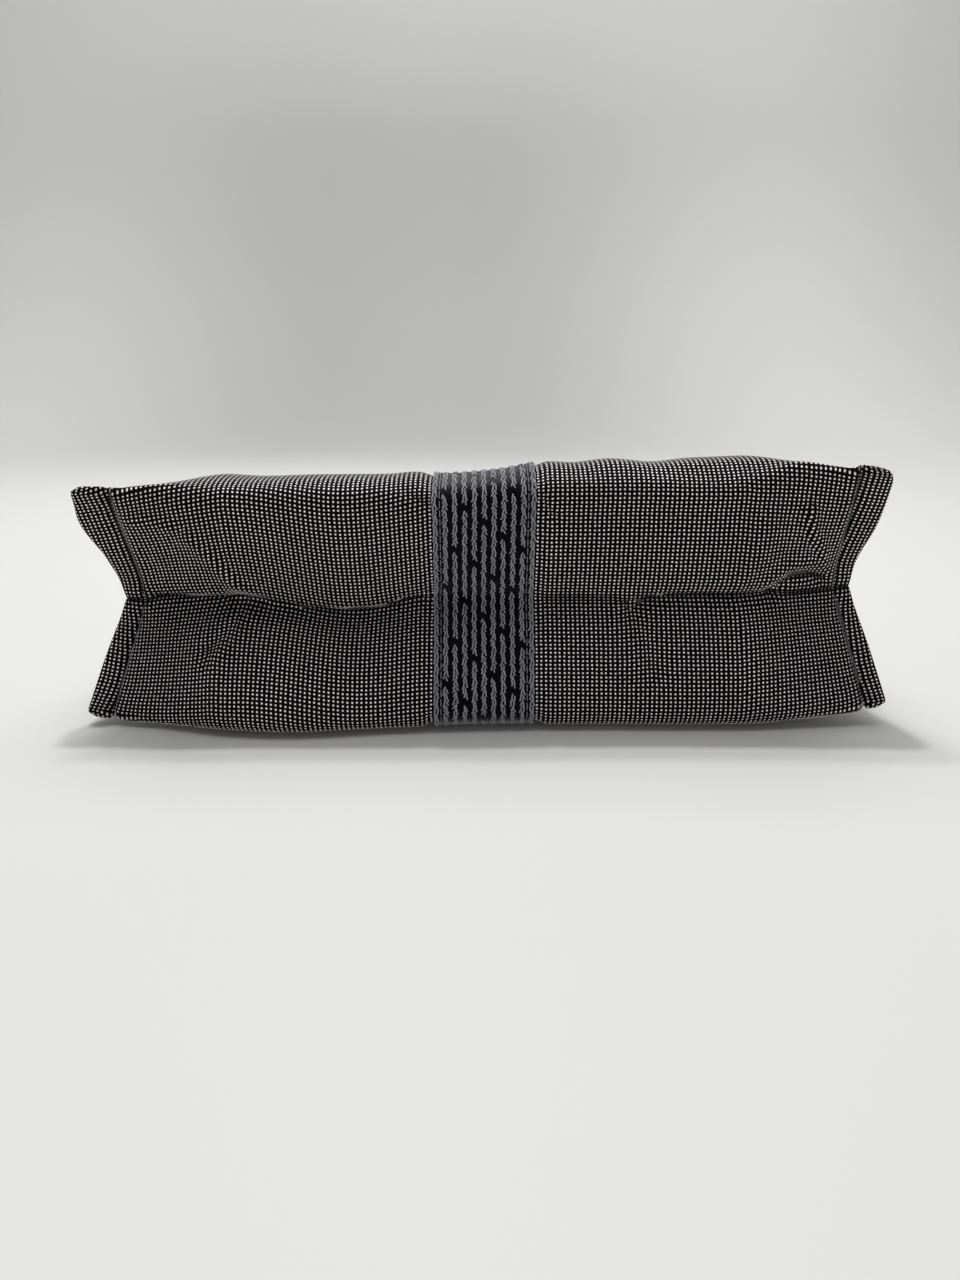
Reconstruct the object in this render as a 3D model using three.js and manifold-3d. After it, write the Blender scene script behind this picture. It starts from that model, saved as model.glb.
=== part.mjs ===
// A soft zipped pouch of dotted canvas with one band of webbing round its middle.
// It lies on its back: the folded base faces -Y, the zip faces +Y, and +Z is up.
// The canvas is one length, from the zip down the front, round the base and up the back.
// The base is a gusset tucked in at both side seams, so each end opens like a beak.
import * as THREE from "three";
import { mergeVertices } from "three/addons/utils/BufferGeometryUtils.js";
import Module from "manifold-3d";

// Bag, in millimetres
const POUCH_WIDTH = 304; // across both side flanges at the zip
const POUCH_HEIGHT = 180; // from the zip edge to the base
const FOLD_HEIGHT = 91; // from the floor to the front fold, on the left
const FOLD_RISE = 3.7; // more of that on the right
const FOLD_RISE_SPAN = [-30, 40]; // from the middle, where it grows
const FOLD_DIP = 0.6; // less of it left of the band
const FOLD_DIP_AT = -22;
const FOLD_DIP_REACH = 12;
const END_RISE = [2.4, 6]; // more of it near the left and the right end
const END_RISE_AT = [-120, 122];
const END_RISE_REACH = 18;
const CROWN_RISE = 1.9; // front panel above the front fold, on the left
const CROWN_LEAN = 7.8; // more of that on the right
const CROWN_LEAN_SPAN = [-58, 77];
const CROWN_SWELL = [1.6, 1.2, 0.6]; // more of it near the left end and on both sides of the band
const CROWN_SWELL_AT = [-101, -26, 24];
const CROWN_SWELL_REACH = [25, 8, 8];
const PANEL = [[0.372, 0.6], [0.667, 0.91]]; // front panel: shares of pouch height and of crown
const CROWN_START = 35; // crown before the base
const CROWN_END = 23; // where it turns down to the front fold
const CREASE_HEIGHT = 48; // fold across the middle of the base above the floor
const CREASE_SAG = 6.3; // less of that left of the band
const CREASE_SAG_AT = -52;
const CREASE_SAG_REACH = 27;
const TUCK = 50; // length of side seam that holds the tucked gusset
const FLANGE = 9; // canvas beyond each side seam
const FLANGE_MORE = [2, 0.4]; // as sewn, the left and the right flange are wider by this
const CANVAS = 1.4;
const LINING = 0.8;
const GAP = 0.3; // clearance between pieces that touch
const FOLD_SETBACK = 13.5; // front fold behind the pouch's height, on the left
const FOLD_SLANT = 2.5; // more of that on the right
const CREASE_SETBACK = 25.5; // fold across the middle of the base, on the left
const CREASE_SLANT = 3.5; // less of that on the right
const REAR_SETBACK = 7; // rear fold
const SLANT_SPAN = [-30, 30]; // from the middle, where the base changes to its shape on the right
const WALL = [[0.06, 0.27], [0.38, 0.5], [0.8, 0.79]]; // shares back and down, front fold to crease
const WALL_STEEP = 0.2; // less of the share back on the right
const FOOT = [[0.4, 0.77], [0.83, 0.51]]; // shares out from the crease, and of its height
const STEM_SHARE = 0.457; // middle of the side seam's straight part, from the zip
const NOTCH_DEPTH = 40; // the crease at the side seams
const NOTCH_BLUNT = 3; // less of that where the seam turns round
const NOTCH_HEIGHT = 45.8; // the same place above the floor
const NOTCH_LEAN = 2.6; // it rises this much on the right and drops it on the left
const CORNER_SETBACK = 14; // front corners
const CORNER_RISE = 3.8; // front corners above the front fold
const CORNER_LEAN = 4.1; // more of that on the right, less on the left
const CORNER_LIFT = 6; // rear corners above the floor
const SEAM_DRAW = 6.1; // side seams drawn in at the front corners
const NOTCH_DRAW = 5.7; // and at the notch
const NOTCH_DRAW_LEAN = 1.9; // less of that on the right, more on the left
const REAR_SPREAD = 1.8; // rear corners spread by the flat back panel
const SPREAD_LEAN = 1.7; // more of that on the right, less on the left
const REAR_SWELL = 8; // rear fold swells out on the left
const REAR_SWELL_AT = -75;
const SWELL_REACH = 42;
const FLANGE_TURN = (25 * Math.PI) / 180; // how far the flange turns back at the notch
const EAR = 3.9; // more flange below the front corners
const NOTCH_TRIM = 0.6; // less of it at the notch
const HEM = 12; // straight strip of canvas beside the zip
const HEM_RISE = 2.2; // how far the hem leans out over its width

// Band of webbing
const WEBBING_WIDTH = 38;
const WEBBING = 1.4;
const WEBBING_FADE = 10; // canvas beside the band that is drawn in with it

// Zip
const MOUTH_MARGIN = 8.5; // from each end of the slot that the zip fills to the side seam
const MOUTH_GAP = 14; // width of that slot
const MOUTH_HEIGHT = 13.5; // middle of the slot above the floor
const TAPE = 0.7;
const TAPE_SETBACK = 2.2; // tape behind the canvas edge
const TAPE_EDGE = 1.6; // tape edge from the middle of the chain
const TOOTH_PITCH = 3;
const TOOTH_HEIGHT = 3; // through the tape
const TOOTH_REACH = 0.7; // head past the middle of the chain
const TOOTH_FOOT = 2.2; // foot from the middle of the chain
const TOOTH_FOOT_WIDTH = 1.9;
const TOOTH_NECK_WIDTH = 0.9;
const TOOTH_HEAD_WIDTH = 1.25;
const STOP_LENGTH = 3;
const TAPE_TAIL = 4.7; // tape beyond the stops

// Slider and pull
const SLIDER_LENGTH = 12.4;
const SLIDER_PLATE = 1.1;
const SLIDER_RAIL = 0.8;
const SLIDER_CLEARANCE = 0.3; // between slider and chain
const CHAIN_SPREAD = 2; // how far the slider's mouth parts each side
const BAIL_WIDTH = 2.2;
const BAIL_HEIGHT = 3.2;
const BAIL_LENGTH = 9;
const BAIL_THICKNESS = 1;
const PULL_LENGTH = 27;
const PULL_WIDTH = 6.4;
const PULL_THICKNESS = 1.4;
const PULL_WINDOW = 7; // opening round the bail

// Places along the canvas, numbered from the front zip edge round the base to the rear one
const ROUTE = [
  "first", "frontHem", "panel", "panelTop", "crown", "fold", "wall", "notch", "foot", "rear",
  "backFoot", "backStart", "back", "rearHem", "last",
];
const PLACES = Object.fromEntries(ROUTE.map((name, place) => [name, place]));
const HEM_CUTS = [0, 1 / 3, 2 / 3];

// The places where the cloth is cut into facets: closer at the folds
const CUTS = [
  ...HEM_CUTS, 1, 1.4, 2, 2.5, 3, 3.5, 4, 4.3, 4.55, 4.85, PLACES.fold, 5.2, 5.5, 6, 6.55, 6.85,
  PLACES.notch, 7.2, 7.5, 7.75, 8, 8.45, 8.8, PLACES.rear, 9.2, 9.6, 10, 10.5, 11, 11.5, 12, 12.5, 13,
  ...HEM_CUTS.map((cut) => PLACES.last - cut).reverse(),
];

const wasm = await Module();
wasm.setup();

// Solids

// A closed three.js geometry as a manifold-3d solid.
function solid(geometry) {
  const bare = geometry.index ? geometry.toNonIndexed() : geometry.clone();
  bare.deleteAttribute("normal");
  bare.deleteAttribute("uv");
  const merged = mergeVertices(bare, 1e-4);
  return new wasm.Manifold(
    new wasm.Mesh({
      numProp: 3,
      vertProperties: merged.attributes.position.array,
      triVerts: new Uint32Array(merged.index.array),
    }),
  );
}

// A manifold-3d solid as a three.js geometry.
function geometryOf(body) {
  const mesh = body.getMesh();
  const geometry = new THREE.BufferGeometry();
  geometry.setAttribute("position", new THREE.BufferAttribute(mesh.vertProperties, 3));
  geometry.setIndex(new THREE.BufferAttribute(mesh.triVerts, 1));
  const flat = geometry.toNonIndexed();
  flat.computeVertexNormals();
  return flat;
}

const joined = (solids) => solids.reduce((all, next) => all.add(next));

// A block between two corners.
function block([x0, y0, z0], [x1, y1, z1]) {
  const geometry = new THREE.BoxGeometry(x1 - x0, y1 - y0, z1 - z0);
  geometry.translate((x0 + x1) / 2, (y0 + y1) / 2, (z0 + z1) / 2);
  return solid(geometry);
}

// An outline of [x, z] points, drawn anticlockwise seen from -Y, between two heights along Y.
function plateXZ(outline, yLow, yHigh) {
  const shape = new THREE.Shape(outline.map(([x, z]) => new THREE.Vector2(x, z)));
  const geometry = new THREE.ExtrudeGeometry(shape, { depth: yHigh - yLow, bevelEnabled: false });
  geometry.rotateX(Math.PI / 2);
  geometry.translate(0, yHigh, 0);
  return solid(geometry);
}

// An outline of [y, z] points carried along X.
function barYZ(outline, xLow, xHigh) {
  const shape = new THREE.Shape(outline.map(([y, z]) => new THREE.Vector2(y, z)));
  const geometry = new THREE.ExtrudeGeometry(shape, { depth: xHigh - xLow, bevelEnabled: false });
  // The outline's x, y and depth become Y, Z and X.
  geometry.applyMatrix4(new THREE.Matrix4().set(0, 0, 1, xLow, 1, 0, 0, 0, 0, 1, 0, 0, 0, 0, 0, 1));
  return solid(geometry);
}

// A skin through closed rings of points that follow each other along X, with both ends capped.
function loft(rings) {
  const count = rings[0].length;
  const positions = rings.flat().flatMap((p) => p.toArray());
  const faces = [];
  for (let i = 0; i + 1 < rings.length; i++) {
    for (let j = 0; j < count; j++) {
      const next = (j + 1) % count;
      const [a, b] = [i * count + j, i * count + next];
      const [c, d] = [b + count, a + count];
      faces.push(a, b, d, b, c, d);
    }
  }
  const capFaces = (ring) =>
    THREE.ShapeUtils.triangulateShape(
      ring.map((p) => new THREE.Vector2(p.y, p.z)),
      [],
    );
  const last = (rings.length - 1) * count;
  for (const [a, b, c] of capFaces(rings[0])) faces.push(c, b, a);
  for (const [a, b, c] of capFaces(rings.at(-1))) faces.push(last + a, last + b, last + c);
  const geometry = new THREE.BufferGeometry();
  geometry.setAttribute("position", new THREE.Float32BufferAttribute(positions, 3));
  geometry.setIndex(faces);
  return solid(geometry);
}

// Shape of the cloth

const SEAM = POUCH_WIDTH / 2 - FLANGE; // side seam from the middle
const MOUTH_END = SEAM - MOUTH_MARGIN;
const clamp01 = (v) => Math.min(1, Math.max(0, v));
const smooth = (v) => clamp01(v) ** 2 * (3 - 2 * clamp01(v));
const mix = (a, b, share) => a + (b - a) * share;

// A soft change from 0 to 1 over a span of stations.
const change = (u, [from, to]) => smooth((u - from) / (to - from));

// A soft rise of 1 round a station, fading over a reach on both sides.
const swell = (u, middle, reach) => Math.exp(-(((u - middle) / reach) ** 2));

// The cloth's section at a station u from the middle: where the canvas runs in the open bag, and
// its seam. Each row of the seam is one whole place along the canvas. It holds where that place is
// in the side seam, how far from the middle the bag starts to close, how round that closing is,
// how far the seam spreads beyond its usual place and how far the flange turns back.
function sectionAt(u) {
  const lean = Math.sign(u) * Math.sin((Math.min(1, Math.abs(u) / SEAM) * Math.PI) / 2);
  const right = change(u, SLANT_SPAN);
  const ends = END_RISE.map((rise, i) => rise * swell(u, END_RISE_AT[i], END_RISE_REACH));
  const dip = FOLD_DIP * swell(u, FOLD_DIP_AT, FOLD_DIP_REACH);
  const fold = FOLD_HEIGHT + FOLD_RISE * change(u, FOLD_RISE_SPAN) - dip + ends[0] + ends[1];
  const crownLean = CROWN_LEAN * change(u, CROWN_LEAN_SPAN);
  const crownSwell = CROWN_SWELL.reduce(
    (sum, rise, i) => sum + rise * swell(u, CROWN_SWELL_AT[i], CROWN_SWELL_REACH[i]),
    0,
  );
  const crown = FOLD_HEIGHT + CROWN_RISE + crownLean + crownSwell;
  const crease = CREASE_HEIGHT - CREASE_SAG * swell(u, CREASE_SAG_AT, CREASE_SAG_REACH);
  const mouthTop = MOUTH_HEIGHT + MOUTH_GAP / 2;
  const mouthLow = MOUTH_HEIGHT - MOUTH_GAP / 2;
  const foldY = -POUCH_HEIGHT + FOLD_SETBACK + FOLD_SLANT * right;
  const creaseY = -POUCH_HEIGHT + CREASE_SETBACK - CREASE_SLANT * right;
  const usualRearY = -POUCH_HEIGHT + REAR_SETBACK;
  const rearY = usualRearY - REAR_SWELL * swell(u, REAR_SWELL_AT, SWELL_REACH);
  const steep = [0, WALL_STEEP * right, WALL_STEEP * right];
  const wall = WALL.map(([back, down], i) => [
    mix(foldY, creaseY, back - steep[i]),
    mix(fold, crease, down),
  ]);
  const foot = FOOT.map(([out, share]) => [mix(creaseY, rearY, out), share * crease]);
  const panel = PANEL.map(([back, up]) => [-back * POUCH_HEIGHT, up * crown - CANVAS]);
  const open = [
    // Front hem and panel
    [0, 0, mouthTop],
    [1, -HEM, mouthTop + HEM_RISE],
    [2, ...panel[0]],
    [3, ...panel[1]],
    [4, CROWN_START - POUCH_HEIGHT, crown - CANVAS],
    [4.55, CROWN_END - POUCH_HEIGHT, mix(crown, fold, 0.1) - CANVAS + 0.3],
    // Front fold, rounded to about 4 mm
    [4.85, foldY + 3.2, mix(fold, crown, 0.45) - CANVAS],
    [PLACES.fold, foldY + 0.4, fold - CANVAS - 0.5],
    [5.2, foldY - 0.9, fold - 5.5],
    // Upper base down to the crease
    [5.5, ...wall[0]],
    [6, ...wall[1]],
    [6.55, ...wall[2]],
    [PLACES.notch, creaseY + 1, crease],
    // Lower base out to the rear fold, which bulges a little over the floor
    [7.2, mix(creaseY, rearY, 0.1), crease - 4.5],
    [7.5, ...foot[0]],
    [8, ...foot[1]],
    [8.45, rearY - 1.5, 0.27 * crease],
    [8.8, rearY - 1.8, 0.1 * crease + 1.6],
    [PLACES.rear, rearY + 1.8, CANVAS + 1],
    // Back panel on the floor, rising to the rear hem
    [10, rearY + 0.45 * TUCK, CANVAS],
    [11, rearY + TUCK, CANVAS],
    [12, -0.36 * POUCH_HEIGHT, CANVAS],
    [13, -HEM, mouthLow - HEM_RISE],
    [PLACES.last, 0, mouthLow],
  ];
  const frontCorner = [-POUCH_HEIGHT + CORNER_SETBACK, FOLD_HEIGHT + CORNER_RISE + CORNER_LEAN * lean];
  const rearCorner = [usualRearY + 3, CORNER_LIFT + 2 * lean];
  const notch = [-POUCH_HEIGHT + NOTCH_DEPTH, NOTCH_HEIGHT + NOTCH_LEAN * lean];
  const mouthSeam = [0, MOUTH_HEIGHT];
  const between = (a, b, share) => [mix(a[0], b[0], share), mix(a[1], b[1], share)];
  const onStem = (share) => between(mouthSeam, notch, share);
  const mouthStart = MOUTH_END / SEAM;
  const notchSpread = -NOTCH_DRAW + NOTCH_DRAW_LEAN * lean;
  const rearSpread = REAR_SPREAD + SPREAD_LEAN * lean;
  const halfFront = {
    seam: between(notch, frontCorner, 0.5),
    spread: (notchSpread - SEAM_DRAW) / 2,
    turn: 0.25,
  };
  const halfRear = {
    seam: between(notch, rearCorner, 0.5),
    spread: (rearSpread + notchSpread) / 2,
    turn: 0.25,
  };
  const atNotch = { seam: notch, spread: notchSpread, turn: 1 };
  const atMouth = { seam: mouthSeam, start: mouthStart, round: 1, spread: 0, turn: 0 };
  const atHem = { ...atMouth, seam: onStem(HEM / (POUCH_HEIGHT - NOTCH_DEPTH)) };
  const atPanel = { seam: onStem(STEM_SHARE), start: 0.55, round: 0.9, spread: 0, turn: 0 };
  const seams = [
    atMouth,
    atHem,
    atPanel,
    { ...atNotch, start: 0.4, round: 0.85 },
    { ...halfFront, start: 0.69, round: 0.9 },
    { seam: frontCorner, start: 0.8, round: 0.85, spread: -SEAM_DRAW, turn: 0 },
    { ...halfFront, start: 0.74, round: 0.35 },
    { ...atNotch, start: 0.68, round: 0.1 },
    { ...halfRear, start: 0.72, round: 0.3 },
    { seam: rearCorner, start: 0.7, round: 0.5, spread: rearSpread, turn: 0 },
    { ...halfRear, start: 0.6, round: 0.85 },
    { ...atNotch, start: 0.45, round: 0.85 },
    atPanel,
    atHem,
    atMouth,
  ];
  return { open, seams };
}

// A centripetal Catmull-Rom curve through rows of place, y and z, read at one place.
function curveAt(rows, place) {
  const points = rows.map(([, y, z]) => new THREE.Vector2(y, z));
  const beyond = (a, b) => a.clone().multiplyScalar(2).sub(b);
  const padded = [beyond(points[0], points[1]), ...points, beyond(points.at(-1), points.at(-2))];
  const found = rows.findLastIndex(([at]) => at <= place);
  const k = Math.min(Math.max(found, 0), rows.length - 2);
  const w = (place - rows[k][0]) / (rows[k + 1][0] - rows[k][0]);
  const [p0, p1, p2, p3] = padded.slice(k, k + 4);
  const gap = (a, b) => Math.sqrt(Math.max(a.distanceTo(b), 1e-4));
  const [d0, d1, d2] = [gap(p0, p1), gap(p1, p2), gap(p2, p3)];
  const read = (axis) => {
    const [a, b, c, d] = [p0, p1, p2, p3].map((p) => p[axis]);
    const leave = ((b - a) / d0 - (c - a) / (d0 + d1) + (c - b) / d1) * d1;
    const arrive = ((c - b) / d1 - (d - b) / (d1 + d2) + (d - c) / d2) * d1;
    return (
      b * (2 * w ** 3 - 3 * w ** 2 + 1) +
      leave * (w ** 3 - 2 * w ** 2 + w) +
      c * (3 * w ** 2 - 2 * w ** 3) +
      arrive * (w ** 3 - w ** 2)
    );
  };
  return new THREE.Vector3(0, read("x"), read("y"));
}

// How wide the flange is at a place along the canvas, on the left or the right.
const flangeWidth = (place, onRight) => {
  const ear = EAR * Math.exp(-((place - PLACES.fold - 0.3) ** 4));
  return FLANGE + FLANGE_MORE[Number(onRight)] + ear - NOTCH_TRIM * swell(place, PLACES.notch, 0.8);
};

// The inside face of the canvas at a station u from the middle and a place along the section.
function clothPoint(u, place) {
  const { open, seams } = sectionAt(u);
  const k = Math.min(Math.floor(place), PLACES.last - 1);
  const between = (get) => mix(get(seams[k]), get(seams[k + 1]), place - k);
  const distance = Math.min(Math.abs(u), SEAM) / SEAM;
  const start = between((key) => key.start);
  const closing = clamp01((distance - start) / (1 - start));
  const full = mix(1 - closing, Math.sqrt(1 - closing ** 2), between((key) => key.round));
  const seam = new THREE.Vector3(0, between((key) => key.seam[0]), between((key) => key.seam[1]));
  seam.y -= NOTCH_BLUNT * swell(place, PLACES.notch, 0.3);
  const point = new THREE.Vector3().lerpVectors(seam, curveAt(open, place), full);
  const spread = between((key) => key.spread) * smooth((distance - 0.5) / 0.5);
  // Beyond the seam both layers are one flange, which turns back where the base folds in.
  const beyond = (Math.max(0, Math.abs(u) - SEAM) / FLANGE) * flangeWidth(place, u > 0);
  const turn = between((key) => key.turn) * FLANGE_TURN;
  point.x = Math.sign(u) * (distance * SEAM + spread + beyond * Math.cos(turn));
  point.y += beyond * Math.sin(turn);
  point.z = Math.max(point.z, CANVAS);
  return point;
}

// A grid of points on the cloth, one row for each station, with the outward direction at each.
function clothGrid(stations) {
  const points = stations.map((u) => CUTS.map((place) => clothPoint(u, place)));
  const facing = points.map((row) => row.map(() => new THREE.Vector3()));
  for (let i = 0; i + 1 < points.length; i++) {
    for (let j = 0; j < CUTS.length - 1; j++) {
      const [a, b] = [points[i][j], points[i][j + 1]];
      const [c, d] = [points[i + 1][j + 1], points[i + 1][j]];
      const normal = new THREE.Vector3().subVectors(c, a);
      normal.cross(new THREE.Vector3().subVectors(d, b)).normalize();
      for (const [row, column] of [[i, j], [i, j + 1], [i + 1, j + 1], [i + 1, j]]) {
        facing[row][column].add(normal);
      }
    }
  }
  facing.forEach((row, i) =>
    row.forEach((normal, j) => {
      if (normal.length() < 0.3 && j > 0 && j < CUTS.length - 1) {
        // A fold shut on itself points along its own layers.
        const neighbours = new THREE.Vector3().addVectors(points[i][j - 1], points[i][j + 1]);
        normal.subVectors(points[i][j], neighbours.multiplyScalar(0.5));
      }
      normal.normalize();
    }),
  );
  return { points, facing };
}

const fromMouth = (place) => Math.min(place, PLACES.last - place);

// How deep the canvas lies under the band, at a station u and a place.
function bandSeat(u, place) {
  const across = 1 - smooth((Math.abs(u) - WEBBING_WIDTH / 2 - 1) / WEBBING_FADE);
  return (WEBBING + GAP) * across * smooth(fromMouth(place) - 1.1);
}

// Rings of the cloth pushed out by a distance, less the seat under the band. The floor keeps
// what lies on it flat.
function clothRings(stations, outBy) {
  const { points, facing } = clothGrid(stations);
  return points.map((row, i) =>
    row.map((p, j) => {
      const out = typeof outBy === "function" ? outBy(CUTS[j]) : outBy;
      const push = out - bandSeat(stations[i], CUTS[j]);
      const pushed = p.clone().addScaledVector(facing[i][j], push);
      pushed.z = Math.max(pushed.z, CANVAS - push);
      return pushed;
    }),
  );
}

// Stations from the middle outwards, mirrored to both sides.
const BAND_STATIONS = [WEBBING_WIDTH / 4, WEBBING_WIDTH / 2];
const bandEdge = WEBBING_WIDTH / 2 + 1;
const HALF_STATIONS = [
  ...BAND_STATIONS,
  bandEdge,
  bandEdge + WEBBING_FADE / 2,
  bandEdge + WEBBING_FADE,
  0.34 * SEAM,
  0.46 * SEAM,
  0.57 * SEAM,
  0.67 * SEAM,
  0.76 * SEAM,
  0.84 * SEAM,
  0.91 * SEAM,
  MOUTH_END,
  mix(MOUTH_END, SEAM, 0.5),
  mix(MOUTH_END, SEAM, 0.85),
];
const mirrored = (half) => [...half.map((u) => -u).reverse(), 0, ...half];
const insideStations = mirrored(HALF_STATIONS);
const outsideStations = mirrored([...HALF_STATIONS, SEAM, SEAM + FLANGE]);

// The slot in the +Y face, from a plane at y outwards.
const mouthSlot = (y, gap) =>
  block(
    [-MOUTH_END, y, MOUTH_HEIGHT - gap / 2],
    [MOUTH_END, POUCH_HEIGHT, MOUTH_HEIGHT + gap / 2],
  );

// The canvas keeps this much beyond the ends of the slot.
const endBlocks = (y) =>
  joined(
    [-1, 1].map((side) => {
      const ends = [side * MOUTH_END, side * (SEAM + FLANGE)].sort((a, b) => a - b);
      return block([ends[0], y, -CANVAS], [ends[1], POUCH_HEIGHT, FOLD_HEIGHT]);
    }),
  );

// One length of canvas, folded round the base and sewn to itself along both sides.
function makeCanvas() {
  const outside = loft(clothRings(outsideStations, CANVAS));
  const inside = loft(clothRings(insideStations, 0)).subtract(endBlocks(-CANVAS));
  return outside.subtract(inside).subtract(mouthSlot(-HEM / 4, MOUTH_GAP));
}

// A loose inner bag of thin cloth, sewn to the zip tapes behind the teeth.
function makeLining() {
  const overTape = (place) => 1 - smooth(fromMouth(place) - 1);
  const outer = (place) => -GAP - (TAPE + GAP) * overTape(place);
  const inner = (place) => outer(place) - LINING;
  const mouth = block(
    [-POUCH_WIDTH, -LINING_SETBACK, -FOLD_HEIGHT],
    [POUCH_WIDTH, POUCH_HEIGHT, FOLD_HEIGHT],
  );
  const shell = loft(clothRings(insideStations.slice(1, -1), outer));
  const hollow = loft(clothRings(insideStations.slice(2, -2), inner));
  return shell.subtract(hollow).subtract(mouth);
}

// The lining stops behind the slider's inner plate.
const LINING_SETBACK = TAPE_SETBACK + TOOTH_HEIGHT / 2 + SLIDER_PLATE + 4 * GAP;

// The band goes once round, from the front zip edge to the rear one.
function makeBand() {
  // The outermost stations only give the edges the canvas's own direction.
  const stations = mirrored([...BAND_STATIONS, bandEdge]);
  const under = clothRings(stations, CANVAS + GAP).slice(1, -1);
  const over = clothRings(stations, CANVAS + GAP + WEBBING).slice(1, -1);
  return loft(over.map((row, i) => [...row, ...under[i].slice().reverse()]));
}

// The zip

// Middle of the slider from the middle of the zip, with the zip closed: it stands at the top stops.
const SLIDER_REST = MOUTH_END - TAPE_TAIL - STOP_LENGTH - 2 * GAP - SLIDER_LENGTH / 2;

// How far a tooth is parted from the middle of the chain by the slider's mouth.
const chainSpread = (x) => CHAIN_SPREAD * smooth((x - SLIDER_REST + 2) / 6);

const chainStart = -MOUTH_END + TAPE_TAIL + STOP_LENGTH;
const chainEnd = SLIDER_REST + 3.4;

// One tooth in the plane of the tape: foot on the tape, neck, and a head past the middle.
function tooth(x, side) {
  const shift = chainSpread(x);
  const across = (v) => side * (v + shift);
  const neck = mix(TOOTH_FOOT, -TOOTH_REACH, 0.45);
  const half = [
    [TOOTH_FOOT_WIDTH / 2, TOOTH_FOOT],
    [TOOTH_NECK_WIDTH / 2, neck],
    [TOOTH_HEAD_WIDTH / 2, -TOOTH_REACH],
  ];
  const right = half.map(([dx, v]) => [x + dx, across(v)]);
  const left = half.map(([dx, v]) => [x - dx, across(v)]).reverse();
  const outline = [...right, ...left];
  return plateXZ(
    side > 0 ? outline.reverse() : outline,
    -TAPE_SETBACK - TOOTH_HEIGHT / 2,
    -TAPE_SETBACK + TOOTH_HEIGHT / 2,
  );
}

// One half of the zip: a tape that turns in behind the canvas hem, with its row of teeth.
function makeStringer(side) {
  // Cuts on the hem, counted from the mouth, at the front or the rear edge.
  const hemStep = (n) => (side > 0 ? n : CUTS.length - 1 - n);
  const [hem] = [clothGrid([0, 1])];
  const follow = (n, inBy) => {
    const p = hem.points[0][hemStep(n)].clone();
    p.addScaledVector(hem.facing[0][hemStep(n)], -inBy);
    return [p.y, p.z - MOUTH_HEIGHT];
  };
  const faceOut = -TAPE_SETBACK + TAPE / 2;
  const faceIn = -TAPE_SETBACK - TAPE / 2;
  const legSteps = [1, 2, HEM_CUTS.length];
  const cornerOut = [faceOut, side * (MOUTH_GAP / 2 - GAP)];
  const cornerIn = [faceIn, side * (MOUTH_GAP / 2 - GAP - TAPE)];
  const outline = [
    [faceOut, side * TAPE_EDGE],
    cornerOut,
    ...legSteps.map((n) => follow(n, GAP)),
    ...legSteps.map((n) => follow(n, GAP + TAPE)).reverse(),
    cornerIn,
    [faceIn, side * TAPE_EDGE],
  ];
  const tapeEnd = MOUTH_END - 2 * GAP;
  const tape = barYZ(side > 0 ? outline : outline.slice().reverse(), -tapeEnd, tapeEnd);
  const teeth = [];
  const first = chainStart + (side > 0 ? 0 : TOOTH_PITCH / 2);
  for (let x = first; x < chainEnd; x += TOOTH_PITCH) teeth.push(tooth(x, side));
  return joined([tape, ...teeth]);
}

// A stop moulded over one tape, where the slider ends its way when the zip is shut.
function makeTopStop(side) {
  const x = SLIDER_REST + SLIDER_LENGTH / 2 + 2 * GAP;
  const half = TOOTH_HEIGHT / 2;
  const slot = TAPE / 2 + GAP;
  const [near, far] = [TAPE_EDGE - 4 * GAP, TAPE_EDGE + 2.2];
  const outline = [
    [-half, side * near],
    [-half, side * far],
    [-slot, side * far],
    [-slot, side * (TAPE_EDGE - GAP)],
    [slot, side * (TAPE_EDGE - GAP)],
    [slot, side * far],
    [half, side * far],
    [half, side * near],
  ];
  return barYZ(
    (side > 0 ? outline.slice().reverse() : outline).map(([y, z]) => [y - TAPE_SETBACK, z]),
    x,
    x + STOP_LENGTH,
  );
}

// A stop moulded over both tapes at the other end.
function makeBottomStop() {
  const x = chainStart - STOP_LENGTH - TOOTH_PITCH / 2;
  const half = TOOTH_HEIGHT / 2;
  const reach = TAPE_EDGE + 1.8;
  const slot = TAPE / 2 + GAP;
  const bar = block(
    [x, -TAPE_SETBACK - half, -reach],
    [x + STOP_LENGTH, -TAPE_SETBACK + half, reach],
  );
  const slots = [-1, 1].map((side) => {
    const ends = [side * (TAPE_EDGE - GAP), side * (reach + 1)].sort((a, b) => a - b);
    return block(
      [x - 1, -TAPE_SETBACK - slot, ends[0]],
      [x + STOP_LENGTH + 1, -TAPE_SETBACK + slot, ends[1]],
    );
  });
  return bar.subtract(joined(slots));
}

// The slider and its pull, drawn about the middle of the slider.

// Half the width of the slider's channel at a distance along it.
const channelHalf = (x) =>
  TOOTH_FOOT + SLIDER_CLEARANCE + chainSpread(x + SLIDER_REST + TOOTH_FOOT_WIDTH / 2);
const PLATE_FACE = TOOTH_HEIGHT / 2 + SLIDER_CLEARANCE;

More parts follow.
